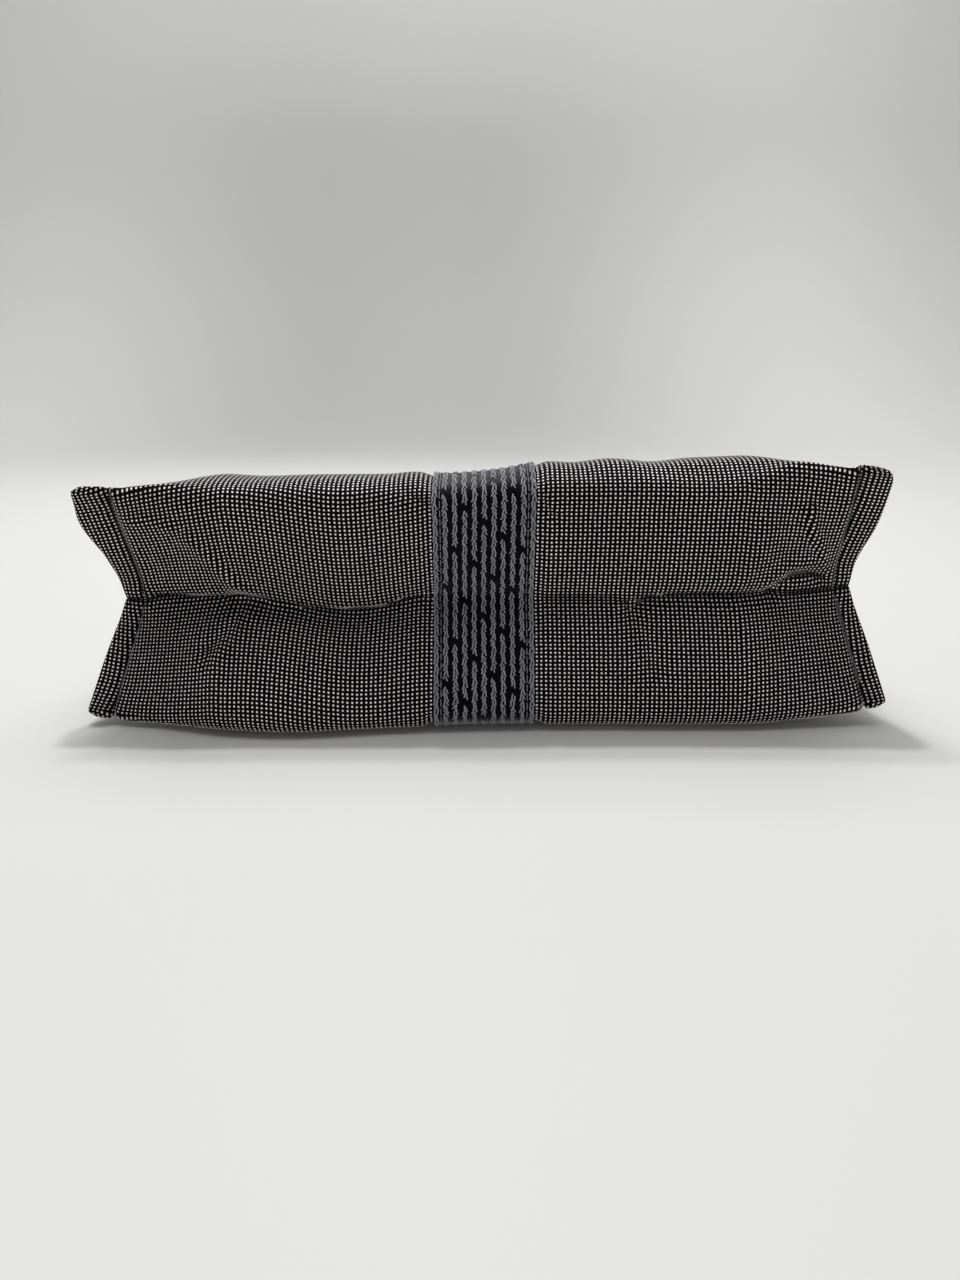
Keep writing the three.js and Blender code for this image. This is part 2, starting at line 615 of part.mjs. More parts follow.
function makeSliderBody() {
  const end = SLIDER_LENGTH / 2;
  const stops = [-end + 0.8, -3, -1.6, -0.4, 0.8, 2, 3.4, end - 1];
  const edge = (x) => channelHalf(x) + SLIDER_RAIL;
  const lower = stops.map((x) => [x, -edge(x)]);
  const upper = stops.map((x) => [x, edge(x)]).reverse();
  const noseHalf = edge(end) - 1.2;
  const tailHalf = edge(-end) - 0.9;
  const outline = [
    ...lower,
    [end, -noseHalf],
    [end, noseHalf],
    ...upper,
    [-end, tailHalf],
    [-end, -tailHalf],
  ];
  const plates = [-1, 1].map((side) => {
    const faces = [side * PLATE_FACE, side * (PLATE_FACE + SLIDER_PLATE)].sort((a, b) => a - b);
    return plateXZ(outline, ...faces);
  });
  // Rails turned in from each plate towards the tape.
  const rails = [-1, 1].flatMap((across) => {
    const outer = stops.map((x) => [x, across * edge(x)]);
    const inner = stops.map((x) => [x, across * (edge(x) - SLIDER_RAIL)]).reverse();
    const strip = [...outer, ...inner];
    return [-1, 1].map((side) => {
      const faces = [side * (TAPE / 2 + 1.3 * GAP), side * (PLATE_FACE + SLIDER_PLATE / 2)];
      faces.sort((a, b) => a - b);
      return plateXZ(across > 0 ? strip.slice().reverse() : strip, ...faces);
    });
  });
  // The wedge that parts the chain and holds both plates together.
  const wedge = plateXZ(
    [[1.6, 0], [2.6, -0.45], [4.4, -0.95], [5.6, -0.7], [5.6, 0.7], [4.4, 0.95], [2.6, 0.45]],
    -PLATE_FACE - SLIDER_PLATE / 2,
    PLATE_FACE + SLIDER_PLATE / 2,
  );
  return joined([...plates, ...rails, wedge]);
}

const PLATE_TOP = PLATE_FACE + SLIDER_PLATE;

// The arch that holds the pull, standing on the outer plate.
function makeBail() {
  const foot = PLATE_TOP + GAP;
  const half = BAIL_LENGTH / 2;
  const chamfer = 1.1;
  const arch = (grow, height) => [
    [-half + grow, foot - grow],
    [half - grow, foot - grow],
    [half - grow, foot + height - chamfer],
    [half - grow - chamfer, foot + height],
    [-half + grow + chamfer, foot + height],
    [-half + grow, foot + height - chamfer],
  ];
  const prism = (outline, halfWidth) => {
    const shape = new THREE.Shape(outline.map(([x, y]) => new THREE.Vector2(x, y)));
    const geometry = new THREE.ExtrudeGeometry(shape, { depth: 2 * halfWidth, bevelEnabled: false });
    geometry.translate(0, 0, -halfWidth);
    return solid(geometry);
  };
  const outside = prism(arch(0, BAIL_HEIGHT), BAIL_WIDTH / 2);
  const inside = prism(arch(BAIL_THICKNESS, BAIL_HEIGHT - BAIL_THICKNESS), BAIL_WIDTH);
  return outside.subtract(inside);
}

// The pull's axle lies across the slider under the bail.
const PULL_AXIS = PLATE_TOP + GAP + PULL_THICKNESS / 2 + 0.1;

// A flat tab with a window at one end, whose bar passes under the bail.
function makePull() {
  const half = PULL_WIDTH / 2;
  const bar = PULL_THICKNESS / 2;
  const round = 1.8;
  const outline = [
    [-PULL_LENGTH + round, -half],
    [bar - 0.2, -half * 0.86],
    [bar, -half * 0.7],
    [bar, half * 0.7],
    [bar - 0.2, half * 0.86],
    [-PULL_LENGTH + round, half],
    [-PULL_LENGTH + round * 0.3, half - round * 0.3],
    [-PULL_LENGTH, half - round],
    [-PULL_LENGTH, -half + round],
    [-PULL_LENGTH + round * 0.3, -half + round * 0.3],
  ];
  const tab = plateXZ(outline, PULL_AXIS - bar, PULL_AXIS + bar);
  const windowHalf = BAIL_WIDTH / 2 + 2 * GAP;
  const window = block(
    [-PULL_WINDOW, 0, -windowHalf],
    [-bar, 2 * PULL_AXIS, windowHalf],
  );
  const gripHole = new THREE.CylinderGeometry(1.3, 1.3, 4 * PULL_AXIS, 12);
  gripHole.translate(-PULL_LENGTH + 3.4, 0, 0);
  return tab.subtract(window).subtract(solid(gripHole));
}

// Materials

const finish = (color, roughness, metalness = 0) =>
  new THREE.MeshStandardMaterial({ color, roughness, metalness });
const canvasCloth = finish(0x4a4546, 0.85);
const bandCloth = finish(0x3a3b42, 0.9);
const liningCloth = finish(0x17171a, 0.8);
const tapeCloth = finish(0x1b1b1e, 0.85);
const toothResin = finish(0x141416, 0.45);
const plated = finish(0xb9bbbe, 0.3, 1);

// Assembly

function named(name, body, material) {
  const mesh = new THREE.Mesh(geometryOf(body), material);
  mesh.name = name;
  return mesh;
}

const slider = new THREE.Group();
slider.position.set(SLIDER_REST, -TAPE_SETBACK, 0);
slider.add(
  named("slider_body", makeSliderBody(), plated),
  named("slider_bail", makeBail(), plated),
  named("pull_tab", makePull(), plated),
);

// Everything on the zip is drawn about the middle of the mouth.
const zip = new THREE.Group();
zip.position.set(0, 0, MOUTH_HEIGHT);
zip.add(
  named("zip_stringer_front", makeStringer(1), tapeCloth),
  named("zip_stringer_rear", makeStringer(-1), tapeCloth),
  named("top_stop_front", makeTopStop(1), toothResin),
  named("top_stop_rear", makeTopStop(-1), toothResin),
  named("bottom_stop", makeBottomStop(), toothResin),
  slider,
);

const pouch = new THREE.Group();
pouch.add(
  named("canvas_body", makeCanvas(), canvasCloth),
  named("lining", makeLining(), liningCloth),
  named("webbing_band", makeBand(), bandCloth),
  zip,
);

// The frame's origin is the middle of the footprint, on the floor.
const extent = new THREE.Box3().setFromObject(pouch, true);
const middle = extent.getCenter(new THREE.Vector3());
pouch.position.set(-middle.x, -middle.y, -extent.min.z);

const part = new THREE.Group();
part.add(pouch);
export default part;
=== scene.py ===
import math

import bmesh
import bpy
import numpy as np
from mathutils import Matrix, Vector


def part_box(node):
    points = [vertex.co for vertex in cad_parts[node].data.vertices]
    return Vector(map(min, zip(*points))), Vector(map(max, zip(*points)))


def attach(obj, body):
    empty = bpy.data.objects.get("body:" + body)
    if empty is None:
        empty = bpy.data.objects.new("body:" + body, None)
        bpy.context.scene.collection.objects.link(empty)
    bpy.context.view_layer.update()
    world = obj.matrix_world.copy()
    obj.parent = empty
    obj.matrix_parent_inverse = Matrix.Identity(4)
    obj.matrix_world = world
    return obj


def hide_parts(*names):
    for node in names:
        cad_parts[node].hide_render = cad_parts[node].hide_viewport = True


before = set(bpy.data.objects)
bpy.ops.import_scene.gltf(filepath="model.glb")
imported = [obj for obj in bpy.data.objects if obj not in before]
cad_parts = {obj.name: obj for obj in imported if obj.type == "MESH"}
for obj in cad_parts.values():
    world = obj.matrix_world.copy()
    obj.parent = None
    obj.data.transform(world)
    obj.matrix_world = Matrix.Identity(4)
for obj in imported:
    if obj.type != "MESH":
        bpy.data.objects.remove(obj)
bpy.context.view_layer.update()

MM = 0.001


# Canvas body
# One length of polyester canvas, near-black with woven white dots, folded from the zip down the
# front, round the base and up the back. It is sewn to itself along both sides, seams outwards,
# and the base is tucked in between the side seams.
POUCH_HEIGHT = 180.0  # from the zip edge to the base
POUCH_WIDTH = 304.0  # across both flanges at the zip
FOLD_HEIGHT = 91.0  # from the floor to the front fold, on the left
FOLD_RISE = 3.7  # more of that on the right
CROWN_RISE = 1.9  # front panel above the front fold, on the left
CROWN_LEAN = 7.8  # more of that on the right
CREASE_HEIGHT = 48.0  # fold across the middle of the base above the floor
CANVAS = 1.4
FLANGE = 9.0  # canvas beyond each side seam
SEAM = POUCH_WIDTH / 2 - FLANGE
TUCK = 50.0  # length of side seam that holds the tucked gusset
FOLD_SETBACK = 13.5  # front fold behind the pouch's height, on the left
FOLD_SLANT = 2.5  # more of that on the right
CREASE_SETBACK = 25.5
CREASE_SLANT = 3.5  # less of that on the right
REAR_SETBACK = 7.0  # rear fold
CROWN_START = 35.0  # crown before the base
CROWN_END = 23.0  # where it turns down to the front fold
FRONT_PANEL = [(2, 67, 0.6), (3, 120, 0.91)]  # place, millimetres from the zip, share of the crown
HEM = 12.0  # straight strip of canvas beside the zip
HEM_RISE = 2.2
MOUTH_END = 134.5
MOUTH_GAP = 14.0
MOUTH_HEIGHT = 13.5
NOTCH_DEPTH = 40.0  # the crease at the side seams
NOTCH_BLUNT = 3.0
NOTCH_HEIGHT = 45.8
NOTCH_LEAN = 2.6  # it rises this much on the right and drops it on the left
CORNER_SETBACK = 14.0  # front corners
CORNER_RISE = 3.8
CORNER_LEAN = 4.1
REAR_CORNER_LIFT = 6.0
REAR_CORNER_LEAN = 2.0
SEAM_DRAW = 6.1  # side seams drawn in at the front corners
NOTCH_DRAW = 5.7  # and at the notch
NOTCH_DRAW_LEAN = 1.9
REAR_SPREAD = 1.8  # rear corners spread by the flat back panel
SPREAD_LEAN = 1.7
STEM_MIDDLE = 64.0
KEYS = 15  # places with a point of their own along the section, the crease at 7
CREASE_PLACE = 7

# Swells along the pouch: height, middle and reach
FOLD_SWELLS = [(-0.6, -22, 12), (6, 122, 19), (2.4, -120, 18)]
CROWN_SWELLS = [(1.6, -101, 25), (1.2, -26, 8), (0.6, 24, 8), (-1.5, -86, 17)]
CROWN_SWELLS += [(-1.8, 63, 11), (-0.9, 8, 14), (1.3, 139, 7), (-1.2, 34, 10)]
CREASE_SWELLS = [(-6.3, -52, 27)]
REAR_SWELLS = [(8, -75, 42)]
CORNER_SWELLS = [(1.5, 134, 18)]


def smooth(v):
    v = np.clip(v, 0.0, 1.0)
    return v * v * (3.0 - 2.0 * v)


def mix(a, b, share):
    return a + (b - a) * share


def swell(v, middle, reach):
    return np.exp(-(((v - middle) / reach) ** 2))


def swells(v, rows):
    return sum(height * swell(v, middle, reach) for height, middle, reach in rows)


def section_keys(u):
    """The section at a station u: rows of place, y, z for the open shape, and rows for its seam."""
    lean = math.sin(np.clip(u / SEAM, -1.0, 1.0) * math.pi / 2)
    right = smooth((u + 30) / 60)
    fold = FOLD_HEIGHT + FOLD_RISE * smooth((u + 30) / 70) + swells(u, FOLD_SWELLS)
    crown = FOLD_HEIGHT + CROWN_RISE + CROWN_LEAN * smooth((u + 58) / 135) + swells(u, CROWN_SWELLS)
    crease = CREASE_HEIGHT + swells(u, CREASE_SWELLS)
    mouth_top = MOUTH_HEIGHT + MOUTH_GAP / 2
    mouth_low = MOUTH_HEIGHT - MOUTH_GAP / 2
    fold_y = -POUCH_HEIGHT + FOLD_SETBACK + FOLD_SLANT * right
    crease_y = -POUCH_HEIGHT + CREASE_SETBACK - CREASE_SLANT * right
    usual_rear_y = -POUCH_HEIGHT + REAR_SETBACK
    rear_y = usual_rear_y - swells(u, REAR_SWELLS)
    corner_lift = swells(u, CORNER_SWELLS)
    front_corner = np.array([-POUCH_HEIGHT + CORNER_SETBACK, FOLD_HEIGHT + CORNER_RISE + CORNER_LEAN * lean])
    rear_corner = np.array([usual_rear_y + 3, REAR_CORNER_LIFT + REAR_CORNER_LEAN * lean])
    notch = np.array([-POUCH_HEIGHT + NOTCH_DEPTH, NOTCH_HEIGHT + NOTCH_LEAN * lean])
    mouth = np.array([0.0, MOUTH_HEIGHT])
    mouth_start = MOUTH_END / SEAM
    notch_draw = -NOTCH_DRAW + NOTCH_DRAW_LEAN * lean
    half_front = (notch_draw - SEAM_DRAW) / 2
    rear_spread = REAR_SPREAD + SPREAD_LEAN * lean
    half_rear = (rear_spread + notch_draw) / 2

    def stem(back):
        return mix(mouth, notch, back / (POUCH_HEIGHT - NOTCH_DEPTH))

    # Place, y and z
    opened = [
        (0, 0, mouth_top),
        (1, -HEM, mouth_top + HEM_RISE),
        *[(place, -back, share * crown - CANVAS) for place, back, share in FRONT_PANEL],
        (4, -POUCH_HEIGHT + CROWN_START, crown - CANVAS),
        (4.55, -POUCH_HEIGHT + CROWN_END, crown - 0.1 * (crown - fold) - CANVAS + 0.3),
        (4.85, fold_y + 3.2, mix(fold, crown, 0.45) - CANVAS),
        (5, fold_y + 0.4, fold - CANVAS - 0.5),
        (5.2, fold_y - 0.9, fold - 5.5),
        (5.5, mix(fold_y, crease_y, 0.06), mix(fold, crease, 0.27)),
        (6, mix(fold_y, crease_y, 0.38 - 0.2 * right), mix(fold, crease, 0.5)),
        (6.55, mix(fold_y, crease_y, 0.8 - 0.2 * right), mix(fold, crease, 0.79)),
        (CREASE_PLACE, crease_y + 1, crease),
        (7.2, mix(crease_y, rear_y, 0.1), crease - 4.5),
        (7.5, mix(crease_y, rear_y, 0.4), 0.77 * crease),
        (8, mix(crease_y, rear_y, 0.83), 0.51 * crease),
        (8.45, rear_y - 1.5, 0.27 * crease),
        (8.8, rear_y - 1.8, 0.1 * crease + 1.6 + corner_lift),
        (9, rear_y + 1.8, CANVAS + 1.0 + corner_lift),
        (10, rear_y + 0.45 * TUCK, CANVAS),
        (11, rear_y + TUCK, CANVAS),
        (12, -0.36 * POUCH_HEIGHT, CANVAS),
        (13, -HEM, mouth_low - HEM_RISE),
        (14, 0, mouth_low),
    ]
    # Seam point, where the section starts to close, its roundness, spread and turn of the flange
    to_notch = [
        (mouth, mouth_start, 1.0, 0, 0),
        (stem(HEM), mouth_start, 1.0, 0, 0),
        (stem(STEM_MIDDLE), 0.55, 0.9, 0, 0),
    ]
    seams = [
        *to_notch,
        (notch, 0.4, 0.85, notch_draw, 1),
        (mix(notch, front_corner, 0.5), 0.69, 0.9, half_front, 0.25),
        (front_corner, 0.8, 0.85, -SEAM_DRAW, 0),
        (mix(notch, front_corner, 0.5), 0.74, 0.35, half_front, 0.25),
        (notch, 0.68, 0.1, notch_draw, 1),
        (mix(notch, rear_corner, 0.5), 0.72, 0.3, half_rear, 0.25),
        (rear_corner, 0.7, 0.5, rear_spread, 0),
        (mix(notch, rear_corner, 0.5), 0.6, 0.85, half_rear, 0.25),
        (notch, 0.45, 0.85, notch_draw, 1),
        *to_notch[::-1],
    ]
    seam_rows = [[*seam, *rest] for seam, *rest in seams]
    return np.array(opened, dtype=float), np.array(seam_rows, dtype=float)


def curve_through(points, at, places):
    """A centripetal Catmull-Rom curve through points that lie at given places, read at others."""
    first = 2 * points[0] - points[1]
    last = 2 * points[-1] - points[-2]
    padded = np.vstack([first, points, last])
    k = np.clip(np.searchsorted(at, places, side="right") - 1, 0, len(points) - 2)
    w = ((places - at[k]) / (at[k + 1] - at[k]))[:, None]
    p0, p1, p2, p3 = (padded[k + i] for i in range(4))
    gaps = (np.linalg.norm(b - a, axis=1) for a, b in ((p0, p1), (p1, p2), (p2, p3)))
    d0, d1, d2 = (np.sqrt(np.maximum(gap, 1e-4))[:, None] for gap in gaps)
    m1 = ((p1 - p0) / d0 - (p2 - p0) / (d0 + d1) + (p2 - p1) / d1) * d1
    m2 = ((p2 - p1) / d1 - (p3 - p1) / (d1 + d2) + (p3 - p2) / d2) * d1
    return (
        p1 * (2 * w**3 - 3 * w**2 + 1)
        + m1 * (w**3 - 2 * w**2 + w)
        + p2 * (3 * w**2 - 2 * w**3)
        + m2 * (w**3 - w**2)
    )


FLANGE_MORE_LEFT = 2.0
FLANGE_MORE_RIGHT = 0.4
EAR = 3.9  # more flange below the front corners
LEFT_EAR_SWELLS = [(1.7, 5.55, 0.3), (-0.9, 6.1, 0.2)]  # height, place and reach
NOTCH_TRIM = 0.6
EAR_ROUND = 6.5
TIP_ROUND = 3.0
TIP_TAPER = 26.0  # width that a tip gains from one place to the next
END_TAPER = 12.0  # and the ends at the zip


def from_mouth(places):
    return np.minimum(places, KEYS - 1 - places)


def flange_width(places, side):
    """The flange's width, rounded off at its tips and at the zip, and widest in the front ear."""
    usual = FLANGE + (FLANGE_MORE_LEFT if side < 0 else FLANGE_MORE_RIGHT)
    tips = np.minimum(np.abs(places - 5), np.abs(places - 9)) * TIP_TAPER
    rounding = np.where((side > 0) & (places < CREASE_PLACE), EAR_ROUND, TIP_ROUND)
    inward = np.minimum(np.minimum(tips, from_mouth(places) * END_TAPER), rounding)
    ear = EAR * np.exp(-((places - 5.3) ** 4)) - NOTCH_TRIM * swell(places, CREASE_PLACE, 0.8)
    if side < 0:
        ear = ear + swells(places, LEFT_EAR_SWELLS)
    return usual + ear - rounding + np.sqrt(rounding**2 - (rounding - inward) ** 2)


# Folds of the base, seen from the front: points in x and z, depth inwards, width.
BASE_FOLDS = [
    ([(-142, 45), (-118, 46), (-97, 46)], 2.8, 4.5),
    ([(-140, 46), (-118, 46.5), (-100, 46.5)], 1.5, 1.6),
    ([(-137, 79), (-124, 79), (-116, 78)], -1.3, 3.0),
    ([(-118, 66), (-124, 60)], 2.0, 9.0),
    ([(-109, 72), (-102, 62), (-97, 55), (-92, 50), (-86, 46)], -1.8, 3.4),
    ([(-99, 46), (-93, 47), (-87, 45.5)], 4.5, 3.8),
    ([(-92, 45), (-95, 39), (-99, 33), (-104, 28)], 3.0, 3.2),
    ([(-122, 34), (-110, 33)], -1.4, 7.0),
    ([(-88, 45.5), (-74, 42.7), (-58, 41.5), (-41, 42.7), (-31, 46), (-20, 48)], 2.6, 3.4),
    ([(-88, 46), (-74, 43), (-58, 41.8), (-41, 43), (-31, 46.4), (-22, 48)], 1.1, 1.5),
    ([(57, 44), (63, 47), (70, 48.5), (90, 49), (111, 49)], 2.7, 3.6),
    ([(66, 48.2), (72, 48.9), (90, 49.2), (111, 49.2)], 0.7, 1.8),
    ([(111, 49), (115, 53), (119, 56.5), (126, 57), (137, 53)], 2.4, 2.6),
    ([(109, 55), (115, 60), (122, 62), (132, 61)], -1.4, 3.2),
    ([(121, 82), (124, 73), (130, 65)], -1.8, 2.4),
    ([(112, 78), (114, 68)], 1.2, 5.0),
    ([(58, 40), (62, 33), (64, 25)], 2.2, 6.0),
    ([(-33, 91), (-21, 86)], 1.3, 1.8),
    ([(22, 88), (25, 82)], 1.0, 1.6),
]


def fold_depth(x, z):
    """How far the base is pushed in at x, z by its folds."""
    depth = np.zeros_like(x)
    for route, inward, width in BASE_FOLDS:
        route = np.array(route, dtype=float)
        nearest = np.full(x.shape, 1e9)
        for a, b in zip(route[:-1], route[1:]):
            along = b - a
            share = ((x - a[0]) * along[0] + (z - a[1]) * along[1]) / (along @ along)
            share = np.clip(share, 0, 1)
            away = np.hypot(x - a[0] - share * along[0], z - a[1] - share * along[1])
            nearest = np.minimum(nearest, away)
        depth += inward * swell(nearest, 0, width)
    return depth


RIPPLE_COUNT = 14
RIPPLE_PITCH = (0.04, 0.16)  # radians in a millimetre
chance = np.random.default_rng(11)
RIPPLES = [
    (chance.uniform(*RIPPLE_PITCH), chance.uniform(0, math.tau), chance.uniform(0, math.tau))
    for _ in range(RIPPLE_COUNT)
]


def ripples(u, v):
    """Slow uneven waves of about 1 mm in all."""
    total = np.zeros_like(u)
    for pitch, heading, phase in RIPPLES:
        total += np.sin((u * math.cos(heading) + v * math.sin(heading)) * pitch + phase)
    return total / len(RIPPLES) ** 0.5


FLANGE_TURN = math.radians(25)  # how far the flange turns back at the notch
EAR_LIFT = 0.8
SEAM_DIP = 1.3  # the seam drawn in between the panels and the flange
SEAM_DIP_REACH = 2.4
SLACK = 0.55  # height of the ripples
BASE_SLACK = 0.44


def cloth_points(u, places, creased=True):
    """The canvas's inner face at station u, one point for each place along the section."""
    keys, seams = section_keys(u)
    opened = curve_through(keys[:, 1:], keys[:, 0], places)
    k = np.minimum(places.astype(int), KEYS - 2)
    share = (places - k)[:, None]
    seam_y, seam_z, start, roundness, spread, turn = mix(seams[k], seams[k + 1], share).T
    seam_y = seam_y - NOTCH_BLUNT * swell(places, CREASE_PLACE, 0.3)
    distance = min(abs(u), SEAM) / SEAM
    closing = np.clip((distance - start) / (1 - start), 0, 1)
    full = mix(1 - closing, np.sqrt(1 - closing**2), roundness)
    y = mix(seam_y, opened[:, 0], full)
    z = mix(seam_z, opened[:, 1], full)
    side = 1 if u > 0 else -1
    share = max(0.0, abs(u) - SEAM) / FLANGE
    beyond = share * flange_width(places, side)
    angle = turn * FLANGE_TURN
    x = side * (distance * SEAM + spread * smooth((distance - 0.5) / 0.5) + beyond * np.cos(angle))
    y = y + beyond * np.sin(angle)
    if side < 0:
        z = z + EAR_LIFT * share * swell(places, 5, 0.6)
    if not creased:
        return np.stack([x, y, np.maximum(z, CANVAS)], axis=1)
    round_ends = smooth((places - 3) / 0.8) * smooth((11 - places) / 0.8)
    y = y + SEAM_DIP * round_ends * swell(abs(u), SEAM + 0.5, SEAM_DIP_REACH)
    in_base = smooth((places - 4.6) / 0.8) * smooth((9.4 - places) / 0.8)
    fade = 1 - smooth((abs(u) - SEAM + 8) / 8)
    y = y + in_base * fade * fold_depth(x, z)
    waves = ripples(x, y + z) * fade * smooth(from_mouth(places) / 1.5)
    on_floor = smooth((places - 8.6) / 0.8)
    z = z + SLACK * waves * (1 - in_base) * (1 - on_floor)
    y = y + BASE_SLACK * waves * in_base
    return np.stack([x, y, np.maximum(z, CANVAS)], axis=1)


WEBBING_WIDTH = 38.0
SEAT_FADE = 5.0  # canvas beside the band that is drawn in with it
FRONT_SEAT = 1.0
REAR_SEAT = 1.75


def band_seat(u, places):
    """How deep the canvas lies under the band."""
    across = 1 - smooth((abs(u) - WEBBING_WIDTH / 2 - 0.5) / SEAT_FADE)
    depth = mix(FRONT_SEAT, REAR_SEAT, smooth((places - 8.0) / 1.2))
    return depth * across * smooth(from_mouth(places) - 0.8)


def unit(vectors):
    return vectors / np.maximum(np.linalg.norm(vectors, axis=-1, keepdims=True), 1e-9)


def cloth_facing(points):
    """Outward directions for a grid of points."""
    across = points[1:, 1:] - points[:-1, :-1]
    along = points[1:, :-1] - points[:-1, 1:]
    normals = unit(np.cross(across, along))
    facing = np.zeros_like(points)
    for i in (0, 1):
        for j in (0, 1):
            rows = slice(i, points.shape[0] - 1 + i)
            columns = slice(j, points.shape[1] - 1 + j)
            facing[rows, columns] += normals
    # A fold shut on itself points along its own layers.
    shut = np.linalg.norm(facing, axis=2) < 0.6
    bend = points[:, 1:-1] - (points[:, 2:] + points[:, :-2]) / 2
    inner = facing[:, 1:-1]
    inner[shut[:, 1:-1]] = bend[shut[:, 1:-1]]
    return unit(facing)


STATION_STEP = 1.9
PLACE_STEPS = 18  # from one key to the next
half_stations = np.concatenate(
    [
        np.arange(STATION_STEP / 2, 124, STATION_STEP),
        np.linspace(124.5, MOUTH_END, 9),
        np.linspace(MOUTH_END + 0.8, SEAM - 0.15, 11),
        SEAM + FLANGE * np.array([0.02, 0.06, 0.1, 0.14, 0.19, 0.26, 0.35, 0.46, 0.58, 0.7, 0.8]),
        SEAM + FLANGE * np.array([0.88, 0.93, 0.965, 0.988, 1.0]),
    ]
)
stations = np.concatenate([-half_stations[::-1], half_stations])
places = np.linspace(0, KEYS - 1, (KEYS - 1) * PLACE_STEPS + 1)
cloth = np.array([cloth_points(u, places) for u in stations])
facing = cloth_facing(cloth)


FLANGE_EDGE = 1.5  # rounded edge of the flange
SEAM_BEYOND = 1.0  # the seam's thread from the panels
SEAM_GROOVE = 0.62  # share of the thickness that the thread presses flat


def canvas_lift(u):
    """How far the outer face stands off the inner one, thin at the flange's edge and its seam."""
    beyond = abs(u) - SEAM
    edge = np.clip((beyond - (FLANGE - FLANGE_EDGE)) / FLANGE_EDGE, 0, 1)
    groove = 1 - SEAM_GROOVE * swell(beyond, SEAM_BEYOND, 0.9)
    return CANVAS * math.sqrt(1 - edge**2) * groove - band_seat(u, places)


lift = np.array([canvas_lift(u) for u in stations])
outer = cloth + facing * lift[:, :, None]
outer[:, :, 2] = np.maximum(outer[:, :, 2], CANVAS - lift)

# The frame says where the zip lies, and the pouch is drawn from the middle of its zip.
SLIDER_REST = 120.0
TAPE_SETBACK = 2.2
TOOTH_HEIGHT = 3.0
stop_low, stop_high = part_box("bottom_stop")
bail_low, bail_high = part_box("slider_bail")
place_of_zip = np.array(
    [
        (bail_low[0] + bail_high[0]) / 2 - SLIDER_REST * MM,
        stop_high[1] + (TAPE_SETBACK - TOOTH_HEIGHT / 2) * MM,
        (stop_low[2] + stop_high[2]) / 2 - MOUTH_HEIGHT * MM,
    ]
)


def in_scene(name, data):
    """A new object in the scene."""
    made = bpy.data.objects.new(name, data)
    bpy.context.collection.objects.link(made)
    return made


def new_mesh(name, points, faces, finish, flat=None):
    """A mesh from points in millimetres about the zip, with one finish and its flat places as a UV map."""
    mesh = bpy.data.meshes.new(name)
    placed = np.asarray(points, dtype=float) * MM + place_of_zip
    mesh.from_pydata(placed.tolist(), [], faces)
    if flat is not None:
        layer = mesh.uv_layers.new(name="flat")
        corners = np.empty(len(mesh.loops), dtype=np.int32)
        mesh.loops.foreach_get("vertex_index", corners)
        layer.data.foreach_set("uv", np.asarray(flat, dtype=np.float32)[corners].ravel())
    mesh.shade_smooth()
    mesh.materials.append(finish)
    return in_scene(name, mesh)


def grid_faces(rows, columns, start=0, turned=False):
    """Quads of a grid of points stored row by row."""
    i, j = np.meshgrid(np.arange(rows - 1), np.arange(columns - 1), indexing="ij")
    a = start + i * columns + j
    quads = np.stack([a, a + columns, a + columns + 1, a + 1], axis=-1).reshape(-1, 4)
    return (quads[:, ::-1] if turned else quads).tolist()


def spans(points, axis):
    """The distance from each point to the next one along an axis."""
    return np.linalg.norm(np.diff(points, axis=axis), axis=-1)


def flat_cloth(across_stations):
    """Where each point of the cloth lies when it is flat, in millimetres."""
    points = np.array([cloth_points(u, places, creased=False) for u in across_stations])
    rows, columns = points.shape[:2]
    steps_along = spans(points, 1)
    # The outer face is the longer one where the cloth bends outwards.
    middle_part = np.abs(across_stations) < 0.7 * SEAM
    outside = (points + cloth_facing(points) * CANVAS)[middle_part]
    longer = spans(outside, 1) - steps_along[middle_part]
    steps_along += np.maximum(np.median(longer, axis=0), 0)
    along = np.concatenate([np.zeros((rows, 1)), np.cumsum(steps_along, axis=1)], axis=1)
    crease = CREASE_PLACE * PLACE_STEPS
    along -= along[:, crease : crease + 1]
    across = np.concatenate([np.zeros((1, columns)), np.cumsum(spans(points, 0), axis=0)], axis=0)
    middle = (across[rows // 2 - 1] + across[rows // 2]) / 2
    across -= middle[None, :]
    return np.stack([across, along], axis=2)


def feed(socket, value):
    """Gives a node's input a value, or links it to another node's output."""
    if isinstance(value, bpy.types.NodeSocket):
        socket.id_data.links.new(value, socket)
    else:
        socket.default_value = value


def put(tree, kind, settings=(), **inputs):
    """A new node with its settings, and with its inputs by name."""
    made = tree.nodes.new(kind)
    for name, value in dict(settings).items():
        setattr(made, name, value)
    for name, value in inputs.items():
        feed(made.inputs[name.replace("_", " ")], value)
    return made


